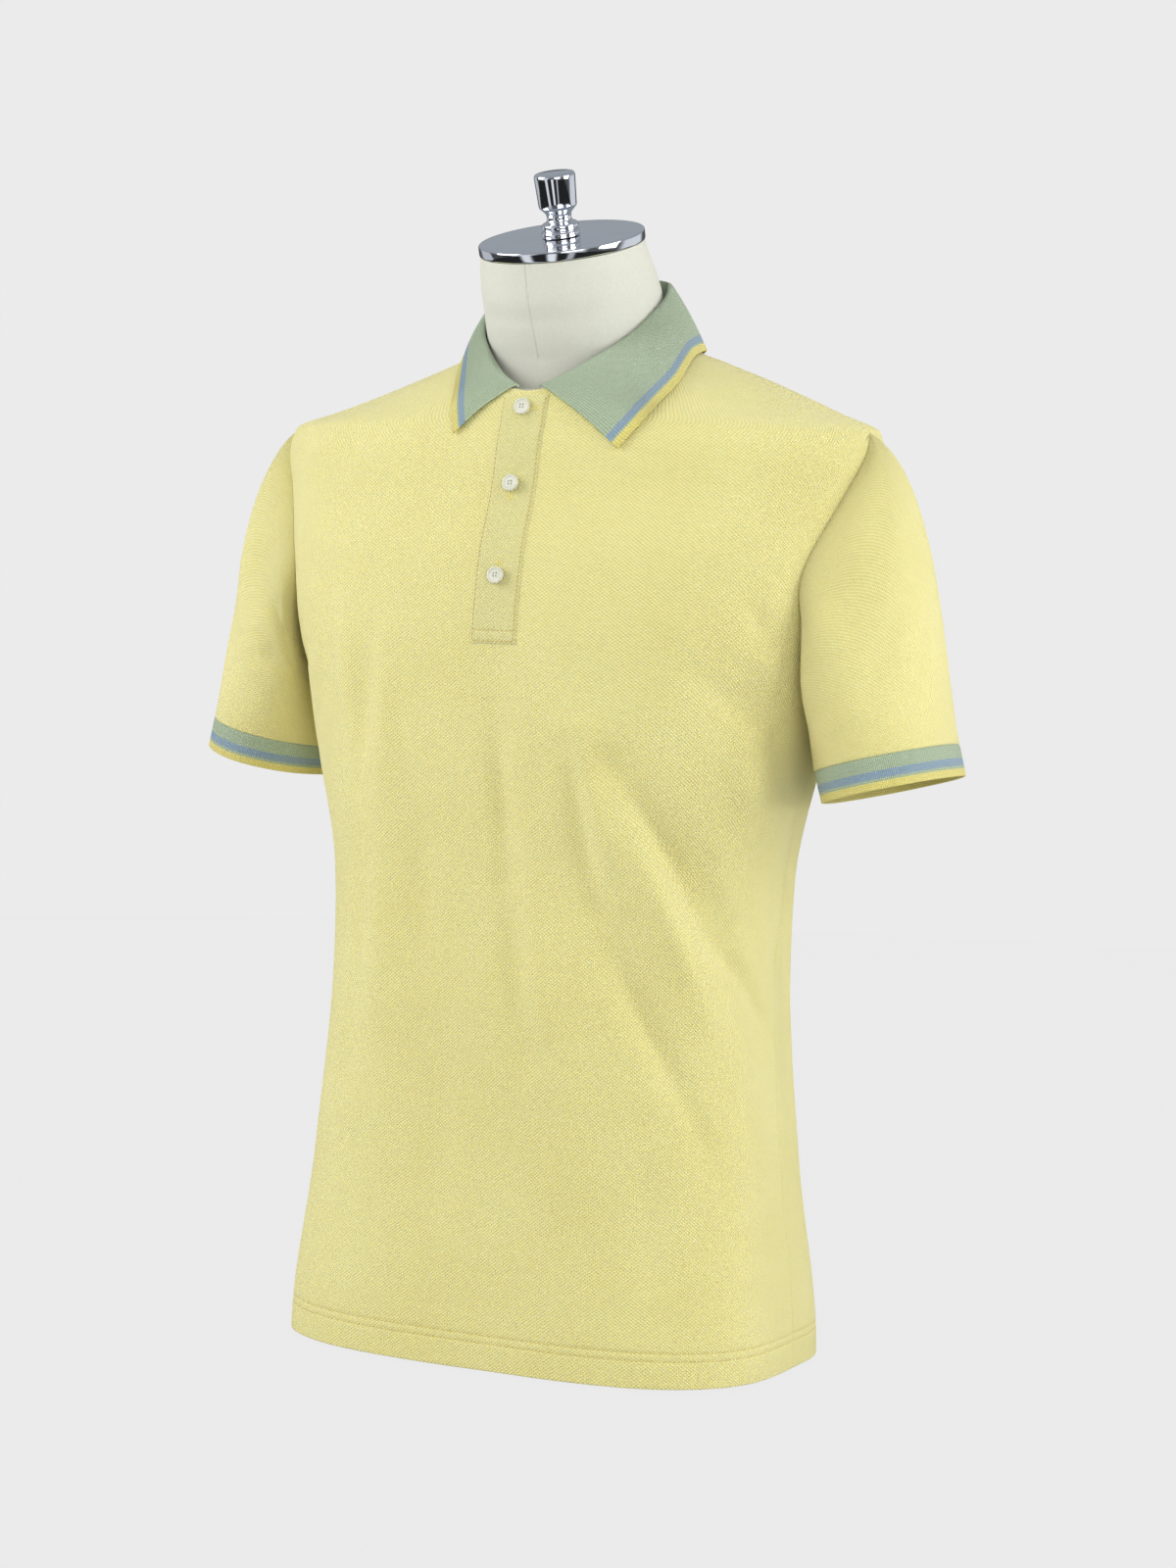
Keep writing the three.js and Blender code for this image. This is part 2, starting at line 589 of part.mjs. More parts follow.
// Share of the way across the body section that a point lies at: 1 is on the surface
function bodyShare(p) {
  const { half, front, back, square } = bodySection(p.z);
  const depth = p.y < 0 ? front : back;
  const ahead = Math.abs(p.y) / depth;
  const turn = p.x ** 2 / (p.x ** 2 + (half * ahead) ** 2);
  const across = Math.abs(p.x - tableValue(NECK_SHIFT, 'x', p.z) * turn) / half;
  return (across ** square + ahead ** square) ** (1 / square);
}

// Moves a point out until it clears the body surface by a distance, which runs out above the neckline
function clearOfBody(p, distance) {
  const moved = p.clone();
  for (let pass = 0; pass < CLEAR_PASSES; pass += 1) {
    const here = bodyShare(moved);
    const slope = vector(
      bodyShare(moved.clone().add(vector(CLEAR_STEP, 0, 0))) - here,
      bodyShare(moved.clone().add(vector(0, CLEAR_STEP, 0))) - here,
      bodyShare(moved.clone().add(vector(0, 0, CLEAR_STEP))) - here,
    ).divideScalar(CLEAR_STEP);
    const steep = slope.length();
    const free = Math.max(0, moved.z - CLEAR_TOP);
    const short = distance - free - (here - 1) / steep;
    if (short > 0) {
      moved.addScaledVector(slope.divideScalar(steep), short);
    }
  }
  return moved;
}

// Collar station at a place between the table's rows, on the wearer's left (1) or right (-1)
function collarStation(share, side) {
  const rows = COLLAR_STATIONS.map(({ base, fold, left, right }, index) => {
    const edge = side > 0 ? left : right;
    return {
      place: index / (COLLAR_STATIONS.length - 1),
      base,
      foldX: fold[0],
      foldY: fold[1],
      foldZ: fold[2],
      edgeX: edge[0],
      edgeY: edge[1],
      edgeZ: edge[2],
    };
  });
  const value = (key) => tableValue(rows, key, share, 'place');
  const edge = vector(side * value('edgeX'), value('edgeY'), value('edgeZ'));
  return {
    base: neckEdge(value('base'), side),
    fold: vector(side * value('foldX'), value('foldY'), value('foldZ')),
    edge: clearOfBody(edge, COLLAR_LIFT),
  };
}

// Foot of the collar just inside the neckline of the panels
function neckEdge(degrees, side) {
  const z = neckHeight(degrees);
  const edge = smoothBody(side * degrees, z);
  const normal = bodyNormal(side * degrees, z);
  const level = vector(normal.x, normal.y, 0);
  const lean = level.length();
  edge.addScaledVector(level.normalize(), -(CLOTH * lean + COLLAR_SEAM + RIB));
  return edge.add(vector(0, 0, COLLAR_SEAM));
}

// Section of the collar: up the stand, over the roll and down the fall
function collarProfile(station) {
  const { base, fold, edge } = station;
  const away = vector(edge.x - base.x, edge.y - base.y, 0).normalize();
  const rise = Math.min(1, fold.distanceTo(base) / FULL_STAND);
  const depth = lerp(ROLL_AT_FRONT, ROLL_DEPTH, rise);
  const beside = (out, down) => fold.clone().addScaledVector(away, depth * out).add(vector(0, 0, -down));
  const line = [base.clone()];
  STAND_PARTS.forEach((part) => line.push(base.clone().lerp(fold, part)));
  line.push(beside(ROLL_INNER.out, ROLL_INNER.down));
  line.push(beside(ROLL_TOP, 0));
  const turn = clearOfBody(beside(ROLL_OUTER.out, ROLL_OUTER.down), RIB + COLLAR_SEAM);
  line.push(turn);
  for (const part of FALL_PARTS) {
    const bow = Math.sin(Math.PI * part);
    const bowed = turn.clone().lerp(edge, part).addScaledVector(away, FALL_BOW.out * bow);
    bowed.z += FALL_BOW.up * bow;
    line.push(clearOfBody(bowed, lerp(FALL_CLEAR, COLLAR_LIFT, part)));
  }
  line.push(edge.clone());
  return line;
}

function collar() {
  const sideRows = (side) => {
    const lines = [];
    for (let step = 0; step <= COLLAR_STEPS; step += 1) {
      lines.push(collarProfile(collarStation(step / COLLAR_STEPS, side)));
    }
    return lines;
  };
  const rows = [...sideRows(-1).slice(0, -1), ...sideRows(1).reverse()];
  return finish('collar', wallGeometry(rows, scaled(gridNormals(rows, false), RIB), false), RIB_KNIT);
}

// Place on the facets of the front panel: x from the centre line, and a row that may be a fraction
function onFrontPanel(x, row) {
  const places = panelGrid(true);
  const middle = PANEL_COLUMNS / 2;
  const pointOf = (r, c) => clothBody(places[r][c].degrees, places[r][c].z);
  const low = Math.min(Math.floor(row), SIDE_ROWS - 1);
  const corner = x < 0 ? middle - 1 : middle + 1;
  const reach = lerp(pointOf(low, corner).x, pointOf(low + 1, corner).x, row - low);
  const share = x === 0 ? 0 : x / reach;
  const onRow = (r) => pointOf(r, middle).lerp(pointOf(r, corner), share);
  const lowPoint = onRow(low);
  const highPoint = onRow(low + 1);
  const up = highPoint.clone().sub(lowPoint);
  const across = pointOf(low, middle + 1).sub(pointOf(low, middle - 1));
  return { point: lowPoint.lerp(highPoint, row - low), normal: across.cross(up).normalize() };
}

// Row of the front panel whose centre lies at a height
function panelRowAt(z) {
  let row = 0;
  while (row < SIDE_ROWS - 1 && centreHeight(row + 1, FRONT_NECK_HEIGHT) < z) {
    row += 1;
  }
  const low = centreHeight(row, FRONT_NECK_HEIGHT);
  const high = centreHeight(row + 1, FRONT_NECK_HEIGHT);
  return row + (z - low) / (high - low);
}

// Strip that follows the front panel row by row
function placket() {
  const bottom = panelRowAt(PLACKET_BOTTOM);
  const top = panelRowAt(PLACKET_TOP);
  const stops = [bottom];
  for (let row = Math.ceil(bottom); row < top; row += 1) {
    stops.push(row);
  }
  stops.push(top);
  const sides = [-PLACKET_WIDTH / 2, 0, PLACKET_WIDTH / 2];
  const rows = [];
  const ways = [];
  for (const stop of stops) {
    const places = sides.map((x) => onFrontPanel(x, stop));
    const lift = PLACKET_SEAM + PLACKET_WALL;
    rows.push(places.map(({ point, normal }) => point.addScaledVector(normal, lift)));
    ways.push(places.map(({ normal }) => normal.multiplyScalar(-PLACKET_WALL)));
  }
  return finish('placket', wallGeometry(rows, ways, false), PIQUE);
}

// Round button with four holes, its back at the origin and facing +Z
function buttonGeometry() {
  const radius = BUTTON_DIAMETER / 2;
  const outline = new THREE.Shape();
  outline.absarc(0, 0, radius - BUTTON_ROUNDING, 0, 2 * Math.PI, false);
  for (let k = 0; k < BUTTON_HOLES; k += 1) {
    const a = (2 * Math.PI * (k + 0.5)) / BUTTON_HOLES;
    const hole = new THREE.Path();
    const x = BUTTON_HOLE_SPREAD * Math.cos(a);
    const y = BUTTON_HOLE_SPREAD * Math.sin(a);
    hole.absarc(x, y, BUTTON_HOLE_RADIUS, 0, 2 * Math.PI, true);
    outline.holes.push(hole);
  }
  const geometry = new THREE.ExtrudeGeometry(outline, {
    depth: BUTTON_THICKNESS - 2 * BUTTON_ROUNDING,
    bevelEnabled: true,
    bevelThickness: BUTTON_ROUNDING,
    bevelSize: BUTTON_ROUNDING,
    bevelSegments: 1,
    curveSegments: 5,
  });
  geometry.translate(0, 0, BUTTON_ROUNDING);
  geometry.deleteAttribute('normal');
  geometry.deleteAttribute('uv');
  return mergeVertices(geometry, MERGE_DISTANCE);
}

function button(name, z) {
  const { point, normal } = onFrontPanel(0, panelRowAt(z));
  const mesh = finish(name, buttonGeometry(), PEARL);
  mesh.position.copy(point.addScaledVector(normal, PLACKET_SEAM + PLACKET_WALL + SEAM));
  mesh.quaternion.setFromUnitVectors(vector(0, 0, 1), normal);
  return mesh;
}

// Solid through closed rings with a flat fan at each end
function ringSolid(rings) {
  const positions = [];
  const faces = [];
  const count = rings[0].length;
  for (const ring of rings) {
    ring.forEach((p) => positions.push(p.x, p.y, p.z));
  }
  for (let r = 0; r < rings.length - 1; r += 1) {
    for (let c = 0; c < count; c += 1) {
      const next = (c + 1) % count;
      const low = r * count;
      const high = low + count;
      faces.push(low + c, low + next, high + next, low + c, high + next, high + c);
    }
  }
  for (const [row, flip] of [[0, true], [rings.length - 1, false]]) {
    const middle = rings[row].reduce((sum, p) => sum.add(p), vector(0, 0, 0)).divideScalar(count);
    const centre = positions.length / 3;
    positions.push(middle.x, middle.y, middle.z);
    for (let c = 0; c < count; c += 1) {
      const here = row * count + c;
      const next = row * count + ((c + 1) % count);
      faces.push(centre, flip ? next : here, flip ? here : next);
    }
  }
  const geometry = new THREE.BufferGeometry();
  geometry.setAttribute('position', new THREE.Float32BufferAttribute(positions, 3));
  geometry.setIndex(faces);
  return facingOut(geometry);
}

// Ring of the form behind the cloth, at a height worked out for each place round it
function formRing(heightAt) {
  const ring = [];
  for (let c = 0; c < FORM_SEGMENTS; c += 1) {
    const degrees = (360 * c) / FORM_SEGMENTS;
    const z = heightAt(degrees > 180 ? 360 - degrees : degrees);
    const setback = CLOTH + tableValue(FORM_SETBACK, 'distance', z);
    const isFoot = z < FORM_RING_HEIGHTS[2];
    const normal = bodyNormal(degrees, z);
    const p = smoothBody(degrees, z).addScaledVector(normal, -setback);
    ring.push(isFoot ? vector(p.x, p.y, z) : p);
  }
  return ring;
}

function neckRing({ below, back, halfWidth, front, rear }) {
  const ring = [];
  for (let c = 0; c < FORM_SEGMENTS; c += 1) {
    const a = (2 * Math.PI * c) / FORM_SEGMENTS;
    const forward = Math.cos(a);
    const depth = forward > 0 ? front : rear;
    const p = vector(halfWidth * Math.sin(a), back - depth * forward, -below);
    p.applyAxisAngle(vector(1, 0, 0), radians(NECK_TILT));
    ring.push(p.add(vector(0, NECK_TOP.y, NECK_TOP.z)));
  }
  return ring;
}

// Dress form: a torso behind the cloth that narrows into a leaning neck
function formBody() {
  const rings = FORM_RING_HEIGHTS.map((z) => formRing(() => z));
  const start = FORM_RING_HEIGHTS[FORM_RING_HEIGHTS.length - 1];
  for (const share of FORM_SHOULDER_SHARES) {
    rings.push(formRing((degrees) => lerp(start, neckHeight(degrees) - FORM_COLLAR_DROP, share)));
  }
  NECK_SECTIONS.forEach((section) => rings.push(neckRing(section)));
  return finish('form_body', ringSolid(rings), CANVAS);
}

// Pieces on top of the neck share its lean
function onNeck(mesh, height) {
  const tilt = radians(NECK_TILT);
  mesh.rotation.x = tilt;
  mesh.position.set(0, NECK_TOP.y - height * Math.sin(tilt), NECK_TOP.z + height * Math.cos(tilt));
  return mesh;
}

function latheGeometry(profile, segments) {
  const geometry = new THREE.LatheGeometry(profile.map(([r, h]) => new THREE.Vector2(r, h)), segments);
  geometry.rotateX(Math.PI / 2);
  geometry.deleteAttribute('normal');
  geometry.deleteAttribute('uv');
  return facingOut(mergeVertices(geometry, MERGE_DISTANCE));
}

function neckCap() {
  const profile = [
    [0, 0],
    [CAP_RADIUS - CAP_ROUNDING, 0],
    [CAP_RADIUS, CAP_ROUNDING],
    [CAP_RADIUS, CAP_THICKNESS - CAP_ROUNDING],
    [CAP_RADIUS - CAP_ROUNDING, CAP_THICKNESS],
    [0, CAP_THICKNESS],
  ];
  return onNeck(finish('form_neck_cap', latheGeometry(profile, CAP_SEGMENTS), CHROME), SEAM);
}

function finial() {
  const mesh = finish('form_finial', latheGeometry(FINIAL_PROFILE, FINIAL_SEGMENTS), CHROME);
  return onNeck(mesh, SEAM + CAP_THICKNESS + SEAM);
}

const shirt = new THREE.Group();
shirt.add(panel('front', true));
shirt.add(panel('back', false));
shirt.add(sleeve('sleeve_left', true));
shirt.add(sleeve('sleeve_right', false));
shirt.add(cuff('cuff_left', true));
shirt.add(cuff('cuff_right', false));
shirt.add(collar());
shirt.add(placket());
BUTTON_HEIGHTS.forEach((z, index) => {
  shirt.add(button(`button_${index + 1}`, z));
});

const dressForm = new THREE.Group();
dressForm.add(formBody());
dressForm.add(neckCap());
dressForm.add(finial());

const part = new THREE.Group();
part.add(shirt);
part.add(dressForm);

export default part;
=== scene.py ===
"""Polo shirt on a limbless dress form: cloth, sewing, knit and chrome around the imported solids.

Garment sizes are in millimetres and become metres where a mesh is made. The front faces -Y,
the wearer's left is +X and +Z is up.
"""
import math

import bpy
import numpy as np
from mathutils import Matrix, Vector


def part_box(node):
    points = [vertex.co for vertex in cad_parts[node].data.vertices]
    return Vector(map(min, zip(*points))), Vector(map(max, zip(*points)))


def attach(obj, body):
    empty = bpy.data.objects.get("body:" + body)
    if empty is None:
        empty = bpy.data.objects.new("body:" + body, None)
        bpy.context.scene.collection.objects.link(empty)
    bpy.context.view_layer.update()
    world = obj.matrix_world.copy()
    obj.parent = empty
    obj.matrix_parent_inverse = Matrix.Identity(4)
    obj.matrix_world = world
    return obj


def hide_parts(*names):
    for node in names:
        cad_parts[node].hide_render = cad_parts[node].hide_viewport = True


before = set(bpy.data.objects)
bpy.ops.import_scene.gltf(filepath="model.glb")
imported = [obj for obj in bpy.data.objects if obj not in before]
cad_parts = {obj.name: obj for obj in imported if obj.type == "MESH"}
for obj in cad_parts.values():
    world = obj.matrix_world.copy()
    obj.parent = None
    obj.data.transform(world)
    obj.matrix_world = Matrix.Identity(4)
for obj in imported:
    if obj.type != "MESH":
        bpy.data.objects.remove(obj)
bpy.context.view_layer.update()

MM = 0.001
ACROSS = np.array([1, 0, 0])
FORWARD = np.array([0, -1, 0])
UP = np.array([0, 0, 1])
LEVEL = np.array([1, 1, 0])
CLOTH = 1.3
RIB = 1.8
PLACKET_RISE = 1.35
HEM_HEIGHT = 3
ARMPIT_HEIGHT = 505
SHOULDER_TIP_HEIGHT = 651
NECK_POINT_HEIGHT = 710
FRONT_NECK_HEIGHT = 676
BACK_NECK_HEIGHT = 708
FRONT_NECK_POWER = 1.15
SHOULDER_SEAM_FORWARD = 7
SIDE = 90
FRONT_ARMHOLE = {"depth": 21, "low": 0.8}
BACK_ARMHOLE = {"depth": 17, "low": 0.45}
DEGREE_WIDTH = 3

# The panels are drawn in rows: up the side seam, round the armhole, along the shoulder seam
HEM_ROWS = 13
ARMHOLE_ROWS = 9
SHOULDER_ROWS = 5
SIDE_ROWS = HEM_ROWS + ARMHOLE_ROWS + SHOULDER_ROWS
ROW_SPACING = 1.08
NECK_CURVE_POWER = 6
LEVEL_ROWS = (30, 250)  # heights between which the rows turn from level to evenly spread

HEM_STITCHES = (21.5, 27.0)
STITCH_LENGTH = 2.6
STITCH_GAP = 0.7
THREAD_RADIUS = 0.24
THREAD_SIDES = 6
STITCH_LIFT = 0.1
# Share of a stitch's length, with its rise and thickness there in thread radii
STITCH_SHAPE = [
    {"share": 0, "rise": -0.9, "size": 0.35},
    {"share": 0.12, "rise": 0.1, "size": 0.85},
    {"share": 0.5, "rise": 0.45, "size": 1},
    {"share": 0.88, "rise": 0.1, "size": 0.85},
    {"share": 1, "rise": -0.9, "size": 0.35},
]

SLEEVE_REACH = 98
LEAVE_TIP = {"out": 0.85, "down": 0.42, "pull": 1.5}
LEAVE_ARMPIT = {"out": 0.2, "down": 1, "pull": 0.75}
LEAVE_FORWARD = 0.75
ARMHOLE_MIDDLE = (215, 0, (ARMPIT_HEIGHT + SHOULDER_TIP_HEIGHT) / 2)
CUFF_DEPTH = 22
CUFF_CENTRE = (241, 5, 431)
CUFF_HALF_WIDTH = 47
CUFF_HALF_DEPTH = 69
CUFF_TILT = math.radians(14.5)
CUFF_TAPER = 0.02
CUFF_AXIS = np.array([math.sin(CUFF_TILT), 0, -math.cos(CUFF_TILT)])
CUFF_ACROSS = np.array([math.cos(CUFF_TILT), 0, math.sin(CUFF_TILT)])
SLEEVE_LENGTH = 200
SLEEVE_COLUMNS = 160
SLEEVE_LAP = 0.5
SLEEVE_DEGREE_WIDTH = 1.15
SLEEVE_FOLD_ENDS = {"armhole": 6, "cuff": 5}  # how fast folds grow from each end
ARMHOLE_SEAM_DEPTH = 0.8
ARMHOLE_SEAM_RADIUS = 0.75
ARMHOLE_SEAM_SIDES = 8

PLACKET_WIDTH = 35
PLACKET_BOTTOM = 502
PLACKET_TOP = 673
PLACKET_WALL = 0.55
PLACKET_INSET = 1.7  # from the edge to the stitching
PLACKET_BOX = 9  # from the bottom to the upper line of stitching
PLACKET_STITCH_SINK = 0.4

BUTTON_RADIUS = 6
BUTTON_THICKNESS = 2.6
BUTTON_HEIGHTS = (664, 611, 548)
BUTTON_DISH = 0.15
RIM_RADIUS = BUTTON_RADIUS - 0.95
RIM_HALF_WIDTH = 0.75
RIM_HALF_HEIGHT = 0.48
RIM_LIFT = 0.15
HOLE_SPREAD = 1.06
STRAND_RADIUS = 0.11
STRAND_SHIFT = 0.13
STRAND_REACH = HOLE_SPREAD - 0.55
STRAND_LIFT = 0.22
# Thread in each button hole, its dark colour painted shade
SHADED_BUNDLE_DEPTH = 1.4
SHADED_BUNDLE_PROFILE = [(0.74, 0), (0.74, 1.1), (0.6, 1.2)]

BUTTONHOLE_LENGTH = 15
BUTTONHOLE_WIDTH = 2.6
BUTTONHOLE_EDGE = {"inset": 0.8, "half_width": 0.62, "half_height": 0.22, "ribbing": 0.22}
BUTTONHOLES = [
    {"is_level": True, "x": 4.2, "z": 0},
    {"is_level": False, "x": 0, "z": -3.4},
    {"is_level": False, "x": 0, "z": 3.4},
]

CAP_RADIUS = 58.6
CAP_THICKNESS = 7
CAP_SEAT = 0.35
NECK_TILT = math.radians(17.7)
NECK_TOP = (0, -33, 779.6)

BODY_SECTIONS = [
    {"z": 0, "half": 188, "front": 128, "back": 115, "square": 3.1},
    {"z": 140, "half": 174, "front": 124, "back": 102, "square": 2.9},
    {"z": 260, "half": 166, "front": 122, "back": 91, "square": 2.7},
    {"z": 340, "half": 169, "front": 119, "back": 88, "square": 2.6},
    {"z": 430, "half": 187, "front": 122, "back": 92, "square": 2.6},
    {"z": 505, "half": 205, "front": 121, "back": 99, "square": 2.6},
    {"z": 560, "half": 214, "front": 114, "back": 102, "square": 2.55},
    {"z": 611, "half": 224, "front": 97, "back": 100, "square": 2.4},
    {"z": 640, "half": 230, "front": 91, "back": 92, "square": 2.2},
    {"z": 653, "half": 228, "front": 87, "back": 87, "square": 2.0},
    {"z": 665, "half": 197, "front": 84, "back": 82, "square": 1.85},
    {"z": 676, "half": 168, "front": 80, "back": 78, "square": 1.75},
    {"z": 690, "half": 131, "front": 74, "back": 71, "square": 1.75},
    {"z": 701, "half": 101, "front": 67, "back": 64, "square": 1.8},
    {"z": 708, "half": 84, "front": 60, "back": 58, "square": 2.0},
    {"z": 716, "half": 76, "front": 54, "back": 55, "square": 2.0},
]

# The sides of the shirt's neck sit a little towards the wearer's left
NECK_SHIFT = [
    {"z": 652, "x": 0},
    {"z": 664, "x": 4},
    {"z": 676, "x": 8},
    {"z": 690, "x": 10.5},
    {"z": 701, "x": 11},
    {"z": 710, "x": 8},
]

# Folds: start and end in degrees round the body and height, width and inward depth
BODY_FOLDS = [
    (27, 420, 78, 248, 17, 8),
    (18, 440, 64, 214, 18, -5),
    (12, 420, 55, 155, 16, 4),
    (0, 480, 15, 230, 16, 5),
    (4, 420, 24, 145, 18, -4),
    (-29, 490, -33, 180, 24, -5),
    (-12, 280, -8, 50, 34, 5),
    (46, 488, 66, 445, 12, 5),
    (56, 430, 78, 372, 18, -5),
    (-58, 500, -70, 430, 14, 5),
    (118, 490, 150, 300, 24, 6),
    (-118, 490, -146, 290, 26, 6),
    (176, 420, 170, 120, 30, -5),
    (140, 260, 146, 60, 26, -4),
    (-150, 240, -140, 50, 28, 4),
    (98, 430, 104, 200, 20, 5),
]
# Sharper creases along the large folds, then small ones beside them
BODY_CREASES = [
    (26, 428, 58, 296, 6.5, 4.8),
    (48, 325, 88, 234, 7.5, 4.2),
    (29, 405, 55, 250, 8, -3.6),
    (17, 438, 26, 325, 7, 4.4),
    (25, 330, 54, 166, 8, 3.6),
    (20, 446, 32, 330, 8, -3.4),
    (0, 462, 4, 338, 7.5, 3.4),
    (3, 340, 12, 218, 10, 3.2),
    (6, 420, 17, 242, 10, -2.6),
    (-28, 503, -34, 398, 9, 3.4),
    (-33, 400, -39, 191, 11, 2.6),
    (-24, 504, -27, 400, 9, -2.4),
    (-34, 537, -37, 434, 10, -2.2),
    (49, 538, 57, 508, 7, 3.0),
    (41, 485, 57, 452, 8, 3.6),
    (56, 440, 63, 378, 12, -4.0),
    (-17, 403, -18, 267, 12, 2.2),
    (39, 179, 39, 47, 13, 2.6),
    (-6, 236, -4, 33, 15, -2.2),
    (166, 460, 156, 250, 10, 3.2),
    (-160, 470, -168, 240, 10, 3.2),
    (128, 420, 118, 260, 10, 3.0),
    (-126, 400, -120, 230, 11, -2.8),
    (50, 492, 72, 462, 6, 1.6),
    (41, 470, 60, 425, 8, 1.2),
    (60, 350, 84, 262, 9, 1.4),
    (-50, 498, -66, 470, 6, 1.6),
    (-44, 470, -60, 420, 8, 1.2),
    (122, 498, 106, 462, 8, 2.8),
    (132, 480, 112, 430, 9, -2.2),
    (-122, 498, -106, 462, 8, 2.8),
    (-134, 476, -112, 424, 9, -2.2),
    (160, 620, 178, 590, 10, 1.0),
    (-150, 560, -172, 540, 12, 1.0),
    (84, 330, 96, 230, 9, 2.2),
    (-84, 350, -92, 240, 9, 2.2),
]
# Sleeve folds: start and end in degrees round the sleeve and share of its length
SLEEVE_FOLDS = [
    (100, 0.1, 60, 0.6, 16, 4),
    (150, 0.1, 120, 0.8, 18, -4),
    (-110, 0.1, -60, 0.7, 18, 4),
    (20, 0.45, 80, 0.85, 18, 3),
]
SLEEVE_CREASES = {
    "left": [(120, 0.12, 88, 0.34, 8, 1.6), (-140, 0.12, -100, 0.4, 9, 1.8), (60, 0.6, 110, 0.9, 10, -1.0)],
    "right": [(128, 0.25, 92, 0.4, 9, 3.4), (132, 0.44, 96, 0.62, 9, 3.2), (-135, 0.15, -96, 0.42, 9, 1.8)],
}

# Collar: base in degrees round the neckline, the top of the roll, and where the fall ends on each side
COLLAR_STATIONS = [
    {"base": 5, "fold": (7, -77.5, 681), "left": (75.7, -91.4, 637.2), "right": (52, -90.5, 647)},
    {"base": 20, "fold": (21, -71, 688), "left": (88.5, -82.5, 655), "right": (58, -82, 665.5)},
    {"base": 42, "fold": (45, -51, 706), "left": (97.5, -71, 670.5), "right": (62, -71, 683)},
    {"base": 64, "fold": (60, -31, 724), "left": (104.3, -52, 688), "right": (67.5, -53, 699)},
    {"base": 90, "fold": (66, -6, 743), "left": (101, -20, 705), "right": (78, -20, 704)},
    {"base": 116, "fold": (59, 17, 756), "left": (91, 12, 706), "right": (80, 14, 703)},
    {"base": 148, "fold": (37, 42, 762), "left": (60, 46, 702), "right": (56, 46, 700)},
    {"base": 180, "fold": (0, 51.5, 764), "left": (0, 66, 699), "right": (0, 66, 699)},
]
COLLAR_LIFT = 3.4
COLLAR_SEAM = 0.8
ROLL_DEPTH = 4.8
ROLL_AT_FRONT = 4.2
FULL_STAND = 20
FALL_BOW = (1.5, 1.5)  # outward and upward
FALL_CLEAR = 3.2
CLEAR_TOP = 710  # height from which the collar need not clear the body
NECK_WALL = 1.7
# Shares of the stand and of the fall, and the roll outward in roll depths and downward
STAND_PARTS = (0.35, 0.7)
FALL_PARTS = (0.2, 0.45, 0.72)
ROLL_INNER = (0.12, 0.9)
ROLL_TOP = (0.55, 0)
ROLL_OUTER = (1.25, 1.9)
COLLAR_STEPS = 5
COLLAR_ROLL_COLUMN = 5 * COLLAR_STEPS

FORM_SETBACK = [
    {"z": 0, "distance": 19},
    {"z": 200, "distance": 17},
    {"z": 430, "distance": 14},
    {"z": 540, "distance": 9},
    {"z": 600, "distance": 6},
    {"z": 640, "distance": 6.2},
    {"z": 658, "distance": 5.8},
    {"z": 670, "distance": 3.2},
    {"z": 684, "distance": 1.9},
    {"z": 716, "distance": 1.6},
]
FORM_WALL = 1.7
NECK_SECTIONS = [
    {"below": 0, "back": 0, "width": 58.1, "front": 58.1, "rear": 58.1},
    {"below": 12, "back": 2, "width": 60, "front": 61, "rear": 57.6},
    {"below": 30, "back": 6.5, "width": 62.5, "front": 66, "rear": 57},
    {"below": 42, "back": 9, "width": 63.5, "front": 66.5, "rear": 57},
    {"below": 55, "back": 9, "width": 64, "front": 65, "rear": 54.5},
    {"below": 68, "back": 8, "width": 64.5, "front": 62, "rear": 52.5},
    {"below": 88, "back": 4, "width": 68, "front": 60, "rear": 53},
]
FORM_HEIGHTS = (0, 8, 60, 120, 180, 240, 300, 350, 400, 450, 505, 545, 580, 610, 628, 640)
FORM_SHOULDER_SHARES = (0.153, 0.306, 0.459, 0.612, 0.765, 0.89, 1)
FORM_COLLAR_DROP = 10
NECK_SEAM_START = 67  # distance below the neck's top from which its seams show

# Turned outlines of the cap and the finial: radius and height
CAP_PROFILE = [
    (1, 0), (CAP_RADIUS - 1.2, 0), (CAP_RADIUS - 0.5, 0.15), (CAP_RADIUS - 0.15, 0.5), (CAP_RADIUS, 1.2),
    (CAP_RADIUS, CAP_THICKNESS - 1.2), (CAP_RADIUS - 0.15, CAP_THICKNESS - 0.55),
    (CAP_RADIUS - 0.55, CAP_THICKNESS - 0.15), (CAP_RADIUS - 1.2, CAP_THICKNESS),
    (CAP_RADIUS - 3, CAP_THICKNESS), (1, CAP_THICKNESS),
]
FINIAL_PROFILE = [
    (0.5, 0), (13.0, 0), (13.45, 0.25), (13.6, 0.8), (13.6, 2.7), (13.3, 3.3), (12.7, 3.9), (12.6, 4.3),
    (12.9, 4.9), (13.05, 5.6), (13.05, 7.8), (12.8, 8.6), (12.0, 9.4), (10.4, 10.1), (9.2, 10.9),
    (8.7, 12.0), (8.6, 13.6), (8.8, 15.2), (9.4, 16.6), (11.4, 18.8), (13.0, 20.4), (13.4, 21.6),
    (14.45, 40.6), (14.5, 41.9), (14.2, 43.2), (13.4, 44.1), (12.4, 44.4), (0.5, 44.4),
]
SHARP_ANGLE = math.radians(35)

# Knit and weave, in metres
PIQUE_WIDTH = 2.7 * MM
PIQUE_HEIGHT = 2.3 * MM
RIB_PITCH = 1.5 * MM
COURSE_PITCH = 1.6 * MM
CANVAS_PITCH = 0.8 * MM
CANVAS_WARPS = 900
